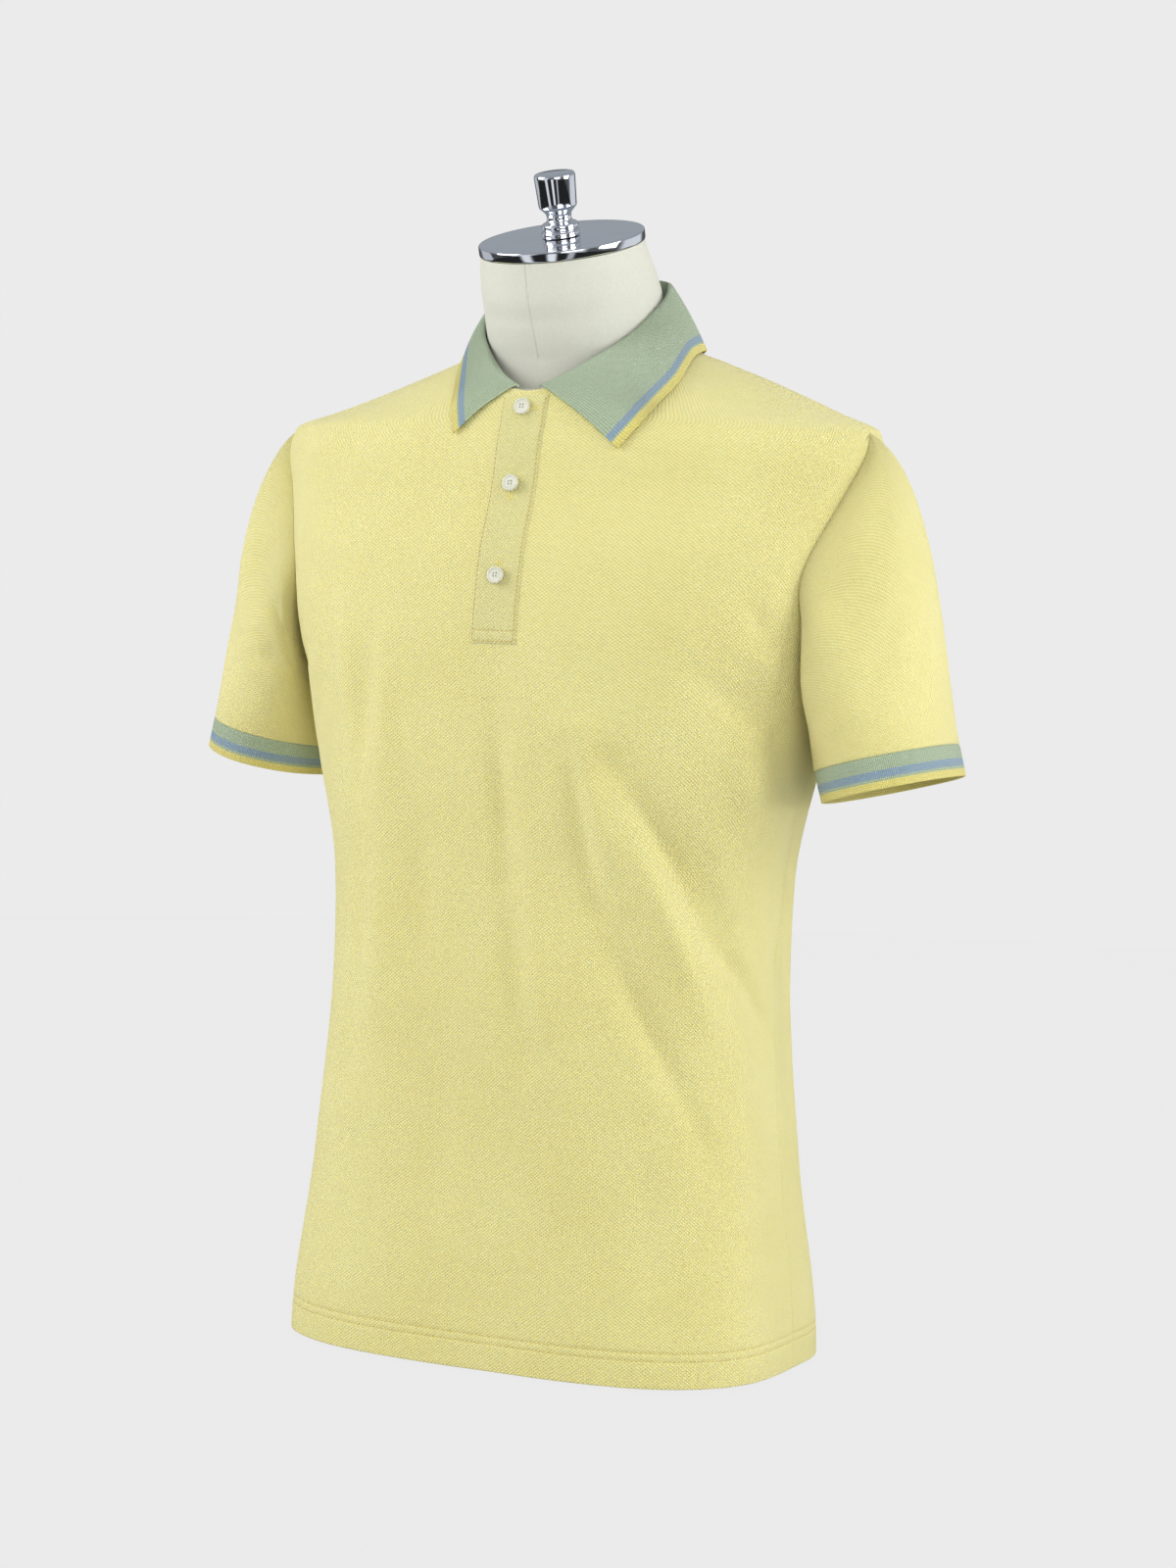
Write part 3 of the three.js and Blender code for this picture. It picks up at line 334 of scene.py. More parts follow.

# Colours from 0 to 255, each with a deeper one where it has two. The deeper yellow, green and blue are
# painted shade for the knit's hollows, mixed with random tone; the other deeper ones are random tone
YELLOW, YELLOW_SHADE_AND_TONE, EDGE_YELLOW = (243, 236, 172), (209, 195, 110), (240, 229, 130)
GREEN, GREEN_SHADE_AND_TONE = (194, 211, 180), (130, 151, 120)
BLUE, BLUE_SHADE_AND_TONE = (150, 174, 190), (118, 144, 164)
CANVAS, CANVAS_DEEP = (224, 225, 213), (204, 204, 190)
CHROME, CHROME_DEEP = (232, 234, 238), (214, 217, 224)
PEARL, PEARL_DEEP = (222, 222, 206), (190, 191, 172)
THREADS = {
    "yellow": (222, 200, 112),
    "placket": (214, 184, 92),
    "white": (206, 202, 180),
    # Painted shade: the thread in the button holes, as dark as the shade in them
    "shaded": (66, 64, 50),
    "buttonhole": (226, 210, 118),
}
THREAD_SHADE = 0.86

# Stripes: start and end in mm from the outer edge, the colour of painted shade and random tone, and the main
# colour
COLLAR_STRIPES = [(-2, 5.2, YELLOW_SHADE_AND_TONE, EDGE_YELLOW), (6.5, 12.0, BLUE_SHADE_AND_TONE, BLUE)]
CUFF_STRIPES = [(-2, 5.0, YELLOW_SHADE_AND_TONE, EDGE_YELLOW), (7.0, 12.2, BLUE_SHADE_AND_TONE, BLUE)]

# Studio, in metres
BACKGROUND = (235, 235, 235)
FLOOR_COLOUR = (205, 205, 204)
FLOOR_RADIUS = 3.0
FLOOR_FADE = 0.98
AMBIENT = 0.64
OVERHEAD = (160, 166, 173)  # what the top of the cap mirrors
OVERHEAD_HEIGHTS = (0.18, 0.4)
LIGHTS = [
    {"name": "left", "place": (-2.2, -1.5, 1.7), "aim": (0, 0, 0.45), "size": (1.6, 1.8), "power": 51},
    {"name": "right", "place": (2.5, 0.1, 1.3), "aim": (0, 0, 0.45), "size": (1.4, 1.8), "power": 37},
    {"name": "front", "place": (1.9, -2.5, 1.2), "aim": (0, 0, 0.5), "size": (1.6, 1.6), "power": 25},
]
# Angles are in degrees; the picture's long side is the sensor's, in mm
CAMERA = {
    "azimuth": 26.62, "height": 3.35, "roll": 1.57, "distance": 2.4, "aim": (0.01495, 0, 0.402),
    "lens": 77.22, "sensor": 36,
}
# Share of the way round from the wearer's right, over the front, and brightness
MIRROR_BANDS = {
    "level": [
        (0.0, 0.08), (0.10, 0.08), (0.14, 0.8), (0.20, 0.8), (0.24, 0.1), (0.31, 0.1), (0.34, 0.7),
        (0.40, 0.7), (0.43, 0.1), (0.56, 0.1), (0.60, 0.8), (0.70, 0.8), (0.74, 0.1), (0.90, 0.1),
        (0.93, 0.6), (0.97, 0.6),
    ],
    "floor": [
        (0.0, 0.02), (0.15, 0.02), (0.17, 0.9), (0.19, 0.9), (0.21, 0.02), (0.26, 0.02), (0.275, 1.0),
        (0.295, 1.0), (0.31, 0.02), (0.345, 0.02), (0.355, 0.5), (0.37, 0.5), (0.38, 0.02), (0.6, 0.02),
        (0.63, 0.5), (0.67, 0.02),
    ],
}


# Shape of the dressed body

def table_value(rows, column, at, place="z"):
    """Smooth value of a table's column, with no overshoot between its rows."""
    places = np.array([row[place] for row in rows], float)
    values = np.array([row[column] for row in rows], float)
    steps = np.diff(values) / np.diff(places)
    slopes = np.zeros(len(places))
    for index in range(1, len(places) - 1):
        left, right = steps[index - 1], steps[index]
        if left * right > 0:
            slopes[index] = 2 * left * right / (left + right)
    at = np.clip(at, places[0], places[-1])
    index = np.clip(np.searchsorted(places, at) - 1, 0, len(places) - 2)
    span = places[index + 1] - places[index]
    t = (at - places[index]) / span
    low = values[index] * (2 * t**3 - 3 * t**2 + 1) + slopes[index] * span * (t**3 - 2 * t**2 + t)
    high = values[index + 1] * (3 * t**2 - 2 * t**3) + slopes[index + 1] * span * (t**3 - t**2)
    return low + high


def body_section(z):
    return [table_value(BODY_SECTIONS, name, z) for name in ("half", "front", "back", "square")]


def smooth_body(degrees, z):
    """Points of the smooth body surface, degrees round from the centre front."""
    half, front, back, square = body_section(z)
    across = np.sin(np.radians(degrees))
    forward = np.cos(np.radians(degrees))
    swell = (np.abs(across) ** square + np.abs(forward) ** square) ** (-1 / square)
    depth = np.where(forward > 0, front, back)
    shift = table_value(NECK_SHIFT, "x", z) * across**2
    return np.stack([half * swell * across + shift, -depth * swell * forward, z + 0 * degrees], -1)


def unit(vectors):
    return vectors / np.maximum(np.linalg.norm(vectors, axis=-1, keepdims=True), 1e-9)


def body_normal(degrees, z, step=0.5):
    around = smooth_body(degrees + step, z) - smooth_body(degrees - step, z)
    up = smooth_body(degrees, z + step) - smooth_body(degrees, z - step)
    return unit(np.cross(around, up))


def fold_depth(folds, x, y, scale):
    """Depth of all folds at each place, with soft ends."""
    depth = np.zeros(np.broadcast(x, y).shape)
    for x0, y0, x1, y1, width, deep in folds:
        start = np.array([x0 * scale[0], y0 * scale[1]])
        run = np.array([x1 * scale[0], y1 * scale[1]]) - start
        length = np.hypot(*run)
        dx, dy = x * scale[0] - start[0], y * scale[1] - start[1]
        along = (dx * run[0] + dy * run[1]) / length**2
        beside = (dx * run[1] - dy * run[0]) / length
        past = np.maximum(0, np.abs(along - 0.5) - 0.5) * length
        ends = np.sin(math.pi * np.clip(along, 0.12, 0.88))
        depth += deep * ends * np.exp(-((np.hypot(beside, past) / width) ** 2))
    return depth


def ripples(x, y):
    """Slight unevenness of worn knit, in mm."""
    return (
        0.30 * np.sin(x / 19 + 1.1 * np.sin(y / 61))
        + 0.22 * np.sin(y / 31 + x / 47 + 2.0)
        + 0.16 * np.sin(x / 11 - y / 83 + 0.7)
    )


def wrapped(degrees):
    return np.where(degrees > 180, degrees - 360, degrees)


def cloth_body(degrees, z):
    around = wrapped(degrees)
    depth = fold_depth(BODY_FOLDS, around, z, (DEGREE_WIDTH, 1))
    depth = depth + fold_depth(BODY_CREASES, around, z, (DEGREE_WIDTH, 1))
    depth = depth + ripples(around * DEGREE_WIDTH, z)
    return smooth_body(degrees, z) - body_normal(degrees, z) * depth[..., None]


def neck_height(degrees):
    share = np.sin(np.radians(np.minimum(degrees, SIDE))) ** FRONT_NECK_POWER
    front = FRONT_NECK_HEIGHT + (NECK_POINT_HEIGHT - FRONT_NECK_HEIGHT) * share
    behind = np.sin(np.radians(np.maximum(0, degrees - SIDE)))
    back = NECK_POINT_HEIGHT + (BACK_NECK_HEIGHT - NECK_POINT_HEIGHT) * behind
    return np.where(degrees < SIDE, front, back)


def panel_side(row, armhole, seam_degrees):
    """Degrees and height of a panel's side: side seam, armhole, shoulder seam."""
    row = np.asarray(row, float)
    low_z = HEM_HEIGHT + (ARMPIT_HEIGHT - HEM_HEIGHT) * row / HEM_ROWS
    turn = np.pi * np.clip((row - HEM_ROWS) / ARMHOLE_ROWS, 0, 1)
    middle = (SHOULDER_TIP_HEIGHT + ARMPIT_HEIGHT) / 2
    reach = (SHOULDER_TIP_HEIGHT - ARMPIT_HEIGHT) / 2
    drift = (SIDE - seam_degrees) * (1 - np.cos(turn)) / 2
    inset = armhole["depth"] * np.sin(turn) * (1 + armhole["low"] * np.cos(turn))
    share = np.clip((row - HEM_ROWS - ARMHOLE_ROWS) / SHOULDER_ROWS, 0, 1)
    high_z = SHOULDER_TIP_HEIGHT + (NECK_POINT_HEIGHT - SHOULDER_TIP_HEIGHT) * share
    z = np.where(row <= HEM_ROWS, low_z, np.where(share > 0, high_z, middle - reach * np.cos(turn)))
    return SIDE - drift - inset, z


def smooth_step(value, low, high):
    t = np.clip((value - low) / (high - low), 0, 1)
    return t * t * (3 - 2 * t)


def panel_rows():
    """Fractions of rows, closest together at the hem's stitching."""
    heights = [HEM_HEIGHT, HEM_HEIGHT + 0.8, HEM_HEIGHT + 2.2, 8, 11, 14, 17, 19.5]
    for line in HEM_STITCHES:
        heights += [line - 0.9, line - 0.45, line, line + 0.45, line + 0.9]
    heights = sorted(heights + [24.2, 30, 33])
    low = [(z - HEM_HEIGHT) / (ARMPIT_HEIGHT - HEM_HEIGHT) * HEM_ROWS for z in heights]
    middle = np.linspace(low[-1], HEM_ROWS, 136)[1:]
    armhole = np.linspace(HEM_ROWS, HEM_ROWS + ARMHOLE_ROWS, 73)[1:]
    shoulder = np.linspace(HEM_ROWS + ARMHOLE_ROWS, SIDE_ROWS, 47)[1:]
    return np.concatenate([low, middle, armhole, shoulder])


def panel_columns():
    """Shares from the centre line to the side, both ways, closest together at the seam."""
    half = np.concatenate([np.linspace(0, 0.984, 73), [0.989, 0.9932, 0.9962, 0.9985, 1]])
    return np.concatenate([-half[:0:-1], half])


def panel_places(is_front):
    rows = panel_rows()[:, None]
    across = panel_columns()[None, :]
    part = np.abs(across)
    seam = SIDE - SHOULDER_SEAM_FORWARD if is_front else SIDE + SHOULDER_SEAM_FORWARD
    side_degrees, side_z = panel_side(rows, FRONT_ARMHOLE if is_front else BACK_ARMHOLE, seam)
    neck_top = FRONT_NECK_HEIGHT if is_front else BACK_NECK_HEIGHT
    share = rows / SIDE_ROWS
    spread = HEM_HEIGHT + (neck_top - HEM_HEIGHT) * share**ROW_SPACING
    centre = side_z + (spread - side_z) * smooth_step(side_z, *LEVEL_ROWS)
    straight = centre + (side_z - centre) * part
    from_centre = part * side_degrees
    neck_degrees = part * seam if is_front else 180 - part * seam
    curve = neck_height(neck_degrees) - (neck_top + (NECK_POINT_HEIGHT - neck_top) * part)
    z = straight + curve * share**NECK_CURVE_POWER
    degrees = from_centre * np.sign(across)
    if not is_front:
        degrees = (180 - from_centre) * np.where(across > 0, -1, 1)
    edge_distance = (1 - part) * side_degrees * DEGREE_WIDTH
    return degrees, z, edge_distance


# Mesh makers

def new_object(mesh, material):
    piece = bpy.data.objects.new(mesh.name, mesh)
    bpy.context.collection.objects.link(piece)
    mesh.materials.append(material)
    mesh.polygons.foreach_set("use_smooth", np.ones(len(mesh.polygons), bool))
    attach(piece, "root")
    return piece


def mesh_from(name, points, faces, flat=None):
    """Mesh from points in mm, faces, and for each face corner its place on the flat cloth."""
    mesh = bpy.data.meshes.new(name)
    mesh.from_pydata((points * MM).tolist(), [], [list(map(int, face)) for face in faces])
    if flat is not None:
        layer = mesh.uv_layers.new(name="cloth")
        layer.data.foreach_set("uv", (np.asarray(flat, np.float32) * MM).ravel())
    mesh.validate()
    mesh.update()
    return mesh


def grid_normals(points, ring):
    if ring:
        along = np.roll(points, -1, 1) - np.roll(points, 1, 1)
    else:
        padded = np.concatenate([points[:, :1], points, points[:, -1:]], 1)
        along = padded[:, 2:] - padded[:, :-2]
    stacked = np.concatenate([points[:1], points, points[-1:]], 0)
    return unit(np.cross(along, stacked[2:] - stacked[:-2]))


def signed_volume(points, faces):
    a, b, c, d = (points[faces[:, k]] for k in range(4))
    return (np.einsum("ij,ij->i", a, np.cross(b, c)) + np.einsum("ij,ij->i", a, np.cross(c, d))).sum()


def quads(grid):
    """Faces between neighbouring rows and columns of a grid of point numbers."""
    return np.stack([grid[:-1, :-1], grid[:-1, 1:], grid[1:, 1:], grid[1:, :-1]], -1).reshape(-1, 4)


def wall(name, outer, inward, flat, ring, lip=0.35):
    """Closed wall of cloth with rounded edges. flat has one more column than a ring's points."""
    rows, columns = outer.shape[:2]
    count = rows * columns
    inner = outer + inward
    corner = np.arange(count).reshape(rows, columns)
    if ring:
        corner = np.concatenate([corner, corner[:, :1]], 1)
    points = [outer.reshape(-1, 3), inner.reshape(-1, 3)]
    flats = flat.reshape(-1, 2)
    place = np.arange(len(flats)).reshape(flat.shape[:2])
    faces = [quads(corner), quads(corner + count)[:, ::-1]]
    corners = [quads(place), quads(place)[:, ::-1]]
    middle = (outer + inner) / 2
    away_up = unit(middle[-1] - middle[-2]) * lip
    away_down = unit(middle[0] - middle[1]) * lip
    if ring:
        top = np.roll((middle[-1] + away_up)[::-1], 1, 0)
        loops = [(corner[0], place[0], middle[0] + away_down), (corner[-1][::-1], place[-1][::-1], top)]
    else:
        right = unit(middle[:, -1] - middle[:, -2]) * lip
        left = unit(middle[:, 0] - middle[:, 1]) * lip
        rim = [
            (corner[0], place[0], middle[0] + away_down),
            (corner[:, -1], place[:, -1], middle[:, -1] + right),
            (corner[-1][::-1], place[-1][::-1], (middle[-1] + away_up)[::-1]),
            (corner[:, 0][::-1], place[:, 0][::-1], (middle[:, 0] + left)[::-1]),
        ]
        joined = [np.concatenate([part[k][:-1] for part in rim]) for k in range(3)]
        loops = [(np.append(joined[0], joined[0][0]), np.append(joined[1], joined[1][0]), joined[2])]
    start = 2 * count
    for border, border_place, edge in loops:
        size = len(edge)
        points.append(edge)
        lips = np.append(np.arange(size), 0) + start
        start += size
        near, far = border[:-1], border[1:]
        place_near, place_far = border_place[:-1], border_place[1:]
        faces.append(np.stack([far, near, lips[:-1], lips[1:]], -1))
        faces.append(np.stack([lips[1:], lips[:-1], near + count, far + count], -1))
        corners += [np.stack([place_far, place_near, place_near, place_far], -1)] * 2
    points, faces, corners = (np.concatenate(part) for part in (points, faces, corners))
    if signed_volume(points, faces) < 0:
        faces = faces[:, ::-1]
        corners = corners[:, ::-1]
    return mesh_from(name, points, faces, flats[corners].reshape(-1, 2))


def solid_of_rings(name, rings):
    """Closed solid through rings of equal size, with a fan at each end."""
    rings = np.asarray(rings)
    rows, columns = rings.shape[:2]
    base, top = rows * columns, rows * columns + 1
    corner = np.pad(np.arange(base).reshape(rows, columns), ((0, 0), (0, 1)), mode="wrap")
    points = np.concatenate([rings.reshape(-1, 3), rings[:1].mean(1), rings[-1:].mean(1)])
    faces = quads(corner)
    is_inside_out = signed_volume(points, faces) < 0
    faces = faces.tolist()
    for c in range(columns):
        faces += [[base, corner[0, c + 1], corner[0, c]], [top, corner[-1, c], corner[-1, c + 1]]]
    if is_inside_out:
        faces = [face[::-1] for face in faces]
    return mesh_from(name, points, faces)


def loop_of_rings(name, rings):
    """Closed tube whose last ring joins the first."""
    rows, columns = rings.shape[:2]
    corner = np.pad(np.arange(rows * columns).reshape(rows, columns), ((0, 1), (0, 1)), mode="wrap")
    return mesh_from(name, rings.reshape(-1, 3), quads(corner.T))


def threads_of_rings(name, threads):
    """Short separate threads in one mesh, each through its own rings and flat at both ends."""
    rows, columns = threads.shape[1:3]
    faces = []
    for index in np.arange(len(threads) * rows * columns).reshape(-1, rows, columns):
        faces += quads(np.concatenate([index, index[:, :1]], 1)).tolist()
        faces += [index[0, ::-1].tolist(), index[-1].tolist()]
    return mesh_from(name, threads.reshape(-1, 3), faces)


def circle(count):
    """Angles in radians of so many points round a circle."""
    return np.linspace(0, 2 * math.pi, count, endpoint=False)


def rings_round(centre, side, normal, count, wide, high):
    """Rings of points round a line, so wide along the side and so high along the normal."""
    turn = circle(count)[:, None]
    across = side[..., None, :] * (wide * np.cos(turn))
    return centre[..., None, :] + across + normal[..., None, :] * (high * np.sin(turn))


def stitches(name, path, normals, material):
    """Row of separate stitches along a path, each a short bent thread that dips at its ends."""
    steps = np.linalg.norm(np.diff(path, axis=0), axis=1)
    distance = np.concatenate([[0], np.cumsum(steps)])
    count = int(distance[-1] // (STITCH_LENGTH + STITCH_GAP))
    middles = (np.arange(count) + 0.5) * distance[-1] / count
    shares, rise, size = np.array([list(row.values()) for row in STITCH_SHAPE]).T
    at = middles[:, None] + (shares - 0.5) * STITCH_LENGTH
    centre, normal = (
        np.stack([np.interp(at, distance, values[:, axis]) for axis in range(3)], -1)
        for values in (path, normals)
    )
    normal = unit(normal)
    side = unit(np.cross(unit(centre[:, -1:] - centre[:, :1]), normal))
    centre = centre + normal * (rise * THREAD_RADIUS + STITCH_LIFT)[:, None]
    size = (size * THREAD_RADIUS)[:, None, None]
    rings = rings_round(centre, side, normal, THREAD_SIDES, size, size)
    return new_object(threads_of_rings(name, rings), material)


# Materials

def srgb(red, green, blue):
    """Colour for a shader from 0 to 255 values as seen on a screen."""
    values = [c / 255 for c in (red, green, blue)]
    return tuple(c / 12.92 if c <= 0.04045 else ((c + 0.055) / 1.055) ** 2.4 for c in values) + (1.0,)


class Nodes:
    """Shader nodes, made and linked by short calls."""

    def __init__(self, tree):
        self.tree = tree

    def feed(self, socket, value):
        """Links a socket of another node, or sets a constant."""
        if isinstance(value, bpy.types.NodeSocket):
            self.tree.links.new(value, socket)
        else:
            socket.default_value = value

    def node(self, kind, feeds=(), **settings):
        """New node with its settings, and what feeds its inputs in order."""
        made = self.tree.nodes.new(kind)
        for key, value in settings.items():
            setattr(made, key, value)
        for socket, value in zip(made.inputs, feeds):
            self.feed(socket, value)
        return made

    def maths(self, operation, *values):
        return self.node("ShaderNodeMath", values, operation=operation).outputs[0]

    def mix(self, factor, first, second):
        made = self.node("ShaderNodeMix", data_type="RGBA")
        for index, value in ((0, factor), (6, first), (7, second)):
            self.feed(made.inputs[index], value)
        return made.outputs[2]

    def spread(self, value, low, high, to_low, to_high):
        return self.node("ShaderNodeMapRange", (value, low, high, to_low, to_high)).outputs[0]

    def place(self, kind):
        return self.node("ShaderNodeTexCoord").outputs[kind]

    def axes(self, place):
        return self.node("ShaderNodeSeparateXYZ", (place,)).outputs

    def rays(self, kind):
        return self.node("ShaderNodeLightPath").outputs[kind]

    def blend(self, factor, first, second):
        """Mix of two shaders."""
        return self.node("ShaderNodeMixShader", (factor, first, second)).outputs[0]

    def bands(self, place, stops):
        """Grey bands round the part that only polished metal mirrors."""
        around = self.node("ShaderNodeTexGradient", (place,), gradient_type="RADIAL").outputs["Fac"]
        ramp = self.node("ShaderNodeValToRGB", (around,))
        ramp.color_ramp.interpolation = "EASE"
        elements = ramp.color_ramp.elements
        for index, (position, level) in enumerate(stops):
            element = elements[index] if index < 2 else elements.new(position)
            element.position = position
            element.color = (level * 0.96, level, level * 1.05, 1)
        return ramp.outputs["Color"]


class Shader(Nodes):
    """A material with one main surface."""

    def __init__(self, name, settings):
        self.material = bpy.data.materials.new(name)
        self.material.use_nodes = True
        super().__init__(self.material.node_tree)
        self.surface = self.tree.nodes["Principled BSDF"]
        for key, value in settings.items():
            self.feed(self.surface.inputs[key], value)

    def flat_cloth(self):
        """Place on the flat cloth, in metres."""
        parts = self.axes(self.node("ShaderNodeUVMap", uv_map="cloth").outputs["UV"])
        return parts["X"], parts["Y"]

    def noise(self, scale, detail=2.0):
        made = self.node("ShaderNodeTexNoise", (self.place("Object"),))
        made.inputs["Scale"].default_value = scale
        made.inputs["Detail"].default_value = detail
        return made.outputs["Fac"]

    def bump(self, height, distance, strength=1.0):
        made = self.node("ShaderNodeBump")
        made.inputs["Strength"].default_value = strength
        made.inputs["Distance"].default_value = distance
        self.feed(made.inputs["Height"], height)
        self.feed(self.surface.inputs["Normal"], made.outputs["Normal"])

    def total(self, *parts):
        """Sum of sockets, each times its share."""
        first, share = parts[0]
        summed = first if share == 1 else self.maths("MULTIPLY", first, share)
        for part, share in parts[1:]:
            summed = self.maths("MULTIPLY_ADD", part, share, summed)
        return summed

    def wave(self, place, pitch, phase=0.0):
        return self.maths("COSINE", self.maths("MULTIPLY_ADD", place, 2 * math.pi / pitch, phase))

    def colour(self, value):
        self.feed(self.surface.inputs["Base Color"], value)
        return self.material


def pique_material():
    """Staggered small cells of a cotton pique, with painted shade in the hollows between them and random
    tone in the fibre.
    """
    shader = Shader("pique", {
        "Roughness": 0.9,
        "Sheen Weight": 0.2,
        "Sheen Roughness": 0.5,
        "Subsurface Weight": 0.3,
        "Subsurface Radius": (1.0, 0.8, 0.3),
        "Subsurface Scale": 5 * MM,
    })
    across, up = shader.flat_cloth()
    cells = shader.maths("MULTIPLY", shader.wave(across, PIQUE_WIDTH), shader.wave(up, PIQUE_HEIGHT))
    cells = shader.maths("MULTIPLY_ADD", cells, 0.5, 0.5)
    fibre = shader.noise(1100, detail=3)
    shader.bump(shader.total((cells, 1), (fibre, 0.8)), 0.6 * MM)
    # Painted shade: the colour darkens in the hollows between the cells, mixed with random fibre and patchy
    # tone
    shade_and_tone = shader.total((cells, 0.5), (fibre, 0.45), (shader.noise(14, detail=4), 0.2))
    shade_and_tone = shader.spread(shade_and_tone, 0.25, 0.9, 0.0, 1.0)
    return shader.colour(shader.mix(shade_and_tone, srgb(*YELLOW_SHADE_AND_TONE), srgb(*YELLOW)))


def rib_material(name, stripes):
    """Rib knit whose stripes are counted from the outer edge of the band, in mm."""
    shader = Shader(name, {"Roughness": 0.92, "Sheen Weight": 0.25, "Sheen Roughness": 0.5})
    along, from_edge = shader.flat_cloth()
    # Loops lean to one side and then the other, so the ribs look like a fine herringbone
    lean = shader.maths("MULTIPLY_ADD", shader.wave(from_edge, COURSE_PITCH), 0.22 * MM, along)
    ribs = shader.maths("MULTIPLY_ADD", shader.wave(lean, RIB_PITCH), 0.5, 0.5)
    courses = shader.maths("MULTIPLY_ADD", shader.wave(from_edge, COURSE_PITCH, 1.3), 0.5, 0.5)
    fibre = shader.noise(1200, detail=3)
    shader.bump(shader.total((ribs, 1), (courses, 0.5), (fibre, 0.7)), 0.55 * MM)
    uneven = shader.maths("MULTIPLY_ADD", fibre, 1.1 * MM, -0.55 * MM)
    place = shader.maths("ADD", from_edge, uneven)
    # Painted shade: the colour darkens in the valleys between the ribs and courses, mixed with random fibre
    # tone; the stripes take the same mix
    depth = shader.total((ribs, 0.55), (fibre, 0.5), (shader.maths("MULTIPLY_ADD", courses, 0.2, -0.12), 1))
    colour = shader.mix(depth, srgb(*GREEN_SHADE_AND_TONE), srgb(*GREEN))
    for start, end, deep, tint in stripes:
        is_past_start = shader.maths("GREATER_THAN", place, start * MM)
        is_before_end = shader.maths("LESS_THAN", place, end * MM)
        inside = shader.maths("MULTIPLY", is_past_start, is_before_end)
        colour = shader.mix(inside, colour, shader.mix(depth, srgb(*deep), srgb(*tint)))
    return shader.colour(colour)


def thread_material(name, tint):
    shader = Shader(name, {"Roughness": 0.6, "Sheen Weight": 0.2})
    fibre = shader.noise(3000)
    shader.bump(fibre, 0.08 * MM, 0.6)
    bright = srgb(*tint)
    darker = tuple(c * THREAD_SHADE for c in bright[:3]) + (1.0,)
    return shader.colour(shader.mix(fibre, darker, bright))


def canvas_material():
    """Plain-woven cotton canvas stretched over the form."""
    shader = Shader("canvas", {"Roughness": 0.92, "Sheen Weight": 0.1})
    parts = shader.axes(shader.place("Object"))
    around = shader.maths("ARCTAN2", parts["X"], parts["Y"])
    warp = shader.maths("COSINE", shader.maths("MULTIPLY", around, CANVAS_WARPS))
    weave = shader.maths("MULTIPLY", warp, shader.wave(parts["Z"], CANVAS_PITCH))
    slub = shader.noise(500, detail=4)
    shader.bump(shader.total((weave, 1), (slub, 1)), 0.12 * MM, 0.7)
    tone = shader.total((slub, 0.6), (shader.noise(9, detail=5), 0.4))
    return shader.colour(shader.mix(tone, srgb(*CANVAS_DEEP), srgb(*CANVAS)))


def chrome_material():
    shader = Shader("chrome", {"Metallic": 1.0})
    smear = shader.noise(40, detail=5)
    shader.feed(shader.surface.inputs["Roughness"], shader.spread(smear, 0.3, 0.8, 0.05, 0.12))
    shader.bump(shader.noise(25), 0.05 * MM, 0.3)
    return shader.colour(shader.mix(smear, srgb(*CHROME_DEEP), srgb(*CHROME)))


def pearl_material():
    """Pearly button: cloudy white with a clear glossy coat."""
    shader = Shader("pearl", {"Roughness": 0.35, "Coat Weight": 0.6, "Coat Roughness": 0.12})
    return shader.colour(shader.mix(shader.noise(160, detail=5), srgb(*PEARL_DEEP), srgb(*PEARL)))


pique = pique_material()
collar_rib = rib_material("collar_rib", COLLAR_STRIPES)
cuff_rib = rib_material("cuff_rib", CUFF_STRIPES)
thread = {name: thread_material(f"{name}_thread", tint) for name, tint in THREADS.items()}
canvas = canvas_material()
chrome = chrome_material()
pearl = pearl_material()


# Shirt pieces

def seam_dip(distance, deep, width):
    """Inward roll of cloth next to a seam."""
    return deep * np.exp(-((distance / width) ** 2))


def hem_dip(z, around):
    """Grooves that the twin stitching pulls into the hem, and the soft puckers beside it."""
    dip = sum(seam_dip(z - line + 0 * around, 0.5, 0.8) for line in HEM_STITCHES)
    pucker = 0.18 * np.sin(around / 2.1) + 0.12 * np.sin(around / 1.27 + 1)
    return dip + pucker * seam_dip(z - 20, 1, 9)


def panel(name, is_front):
    degrees, z, edge = panel_places(is_front)
    normals = body_normal(degrees, z)
    arc = wrapped(degrees) * DEGREE_WIDTH
    dip = seam_dip(edge + 0 * z, 0.45, 0.8) + hem_dip(z, arc)
    points = cloth_body(degrees, z) - normals * dip[..., None]
    flat = np.stack([arc if is_front else np.mod(degrees, 360) * DEGREE_WIDTH, z], -1)
    return new_object(wall(name, points, -normals * CLOTH, flat, False), pique)


def armhole_ring():
    """Armhole from the shoulder tip down the front to the armpit and up the back."""
    t = np.linspace(0, 2 * ARMHOLE_ROWS, SLEEVE_COLUMNS, endpoint=False)
    front_row = HEM_ROWS + ARMHOLE_ROWS - np.minimum(t, ARMHOLE_ROWS)
    back_row = HEM_ROWS + np.maximum(t - ARMHOLE_ROWS, 0)
    front_degrees, front_z = panel_side(front_row, FRONT_ARMHOLE, SIDE - SHOULDER_SEAM_FORWARD)
    back_degrees, back_z = panel_side(back_row, BACK_ARMHOLE, SIDE + SHOULDER_SEAM_FORWARD)
    is_front = t <= ARMHOLE_ROWS
    degrees = np.where(is_front, front_degrees, 180 - back_degrees)
    return degrees, np.where(is_front, front_z, back_z), 180 / ARMHOLE_ROWS * t


def cuff_point(angle, below, tighter=0.0):
    a = np.radians(angle)[..., None]
    return (
        np.array(CUFF_CENTRE)
        + CUFF_AXIS * below
        + CUFF_ACROSS * (CUFF_HALF_WIDTH - tighter) * np.cos(a)
        + FORWARD * (CUFF_HALF_DEPTH - tighter) * np.sin(a)
    )


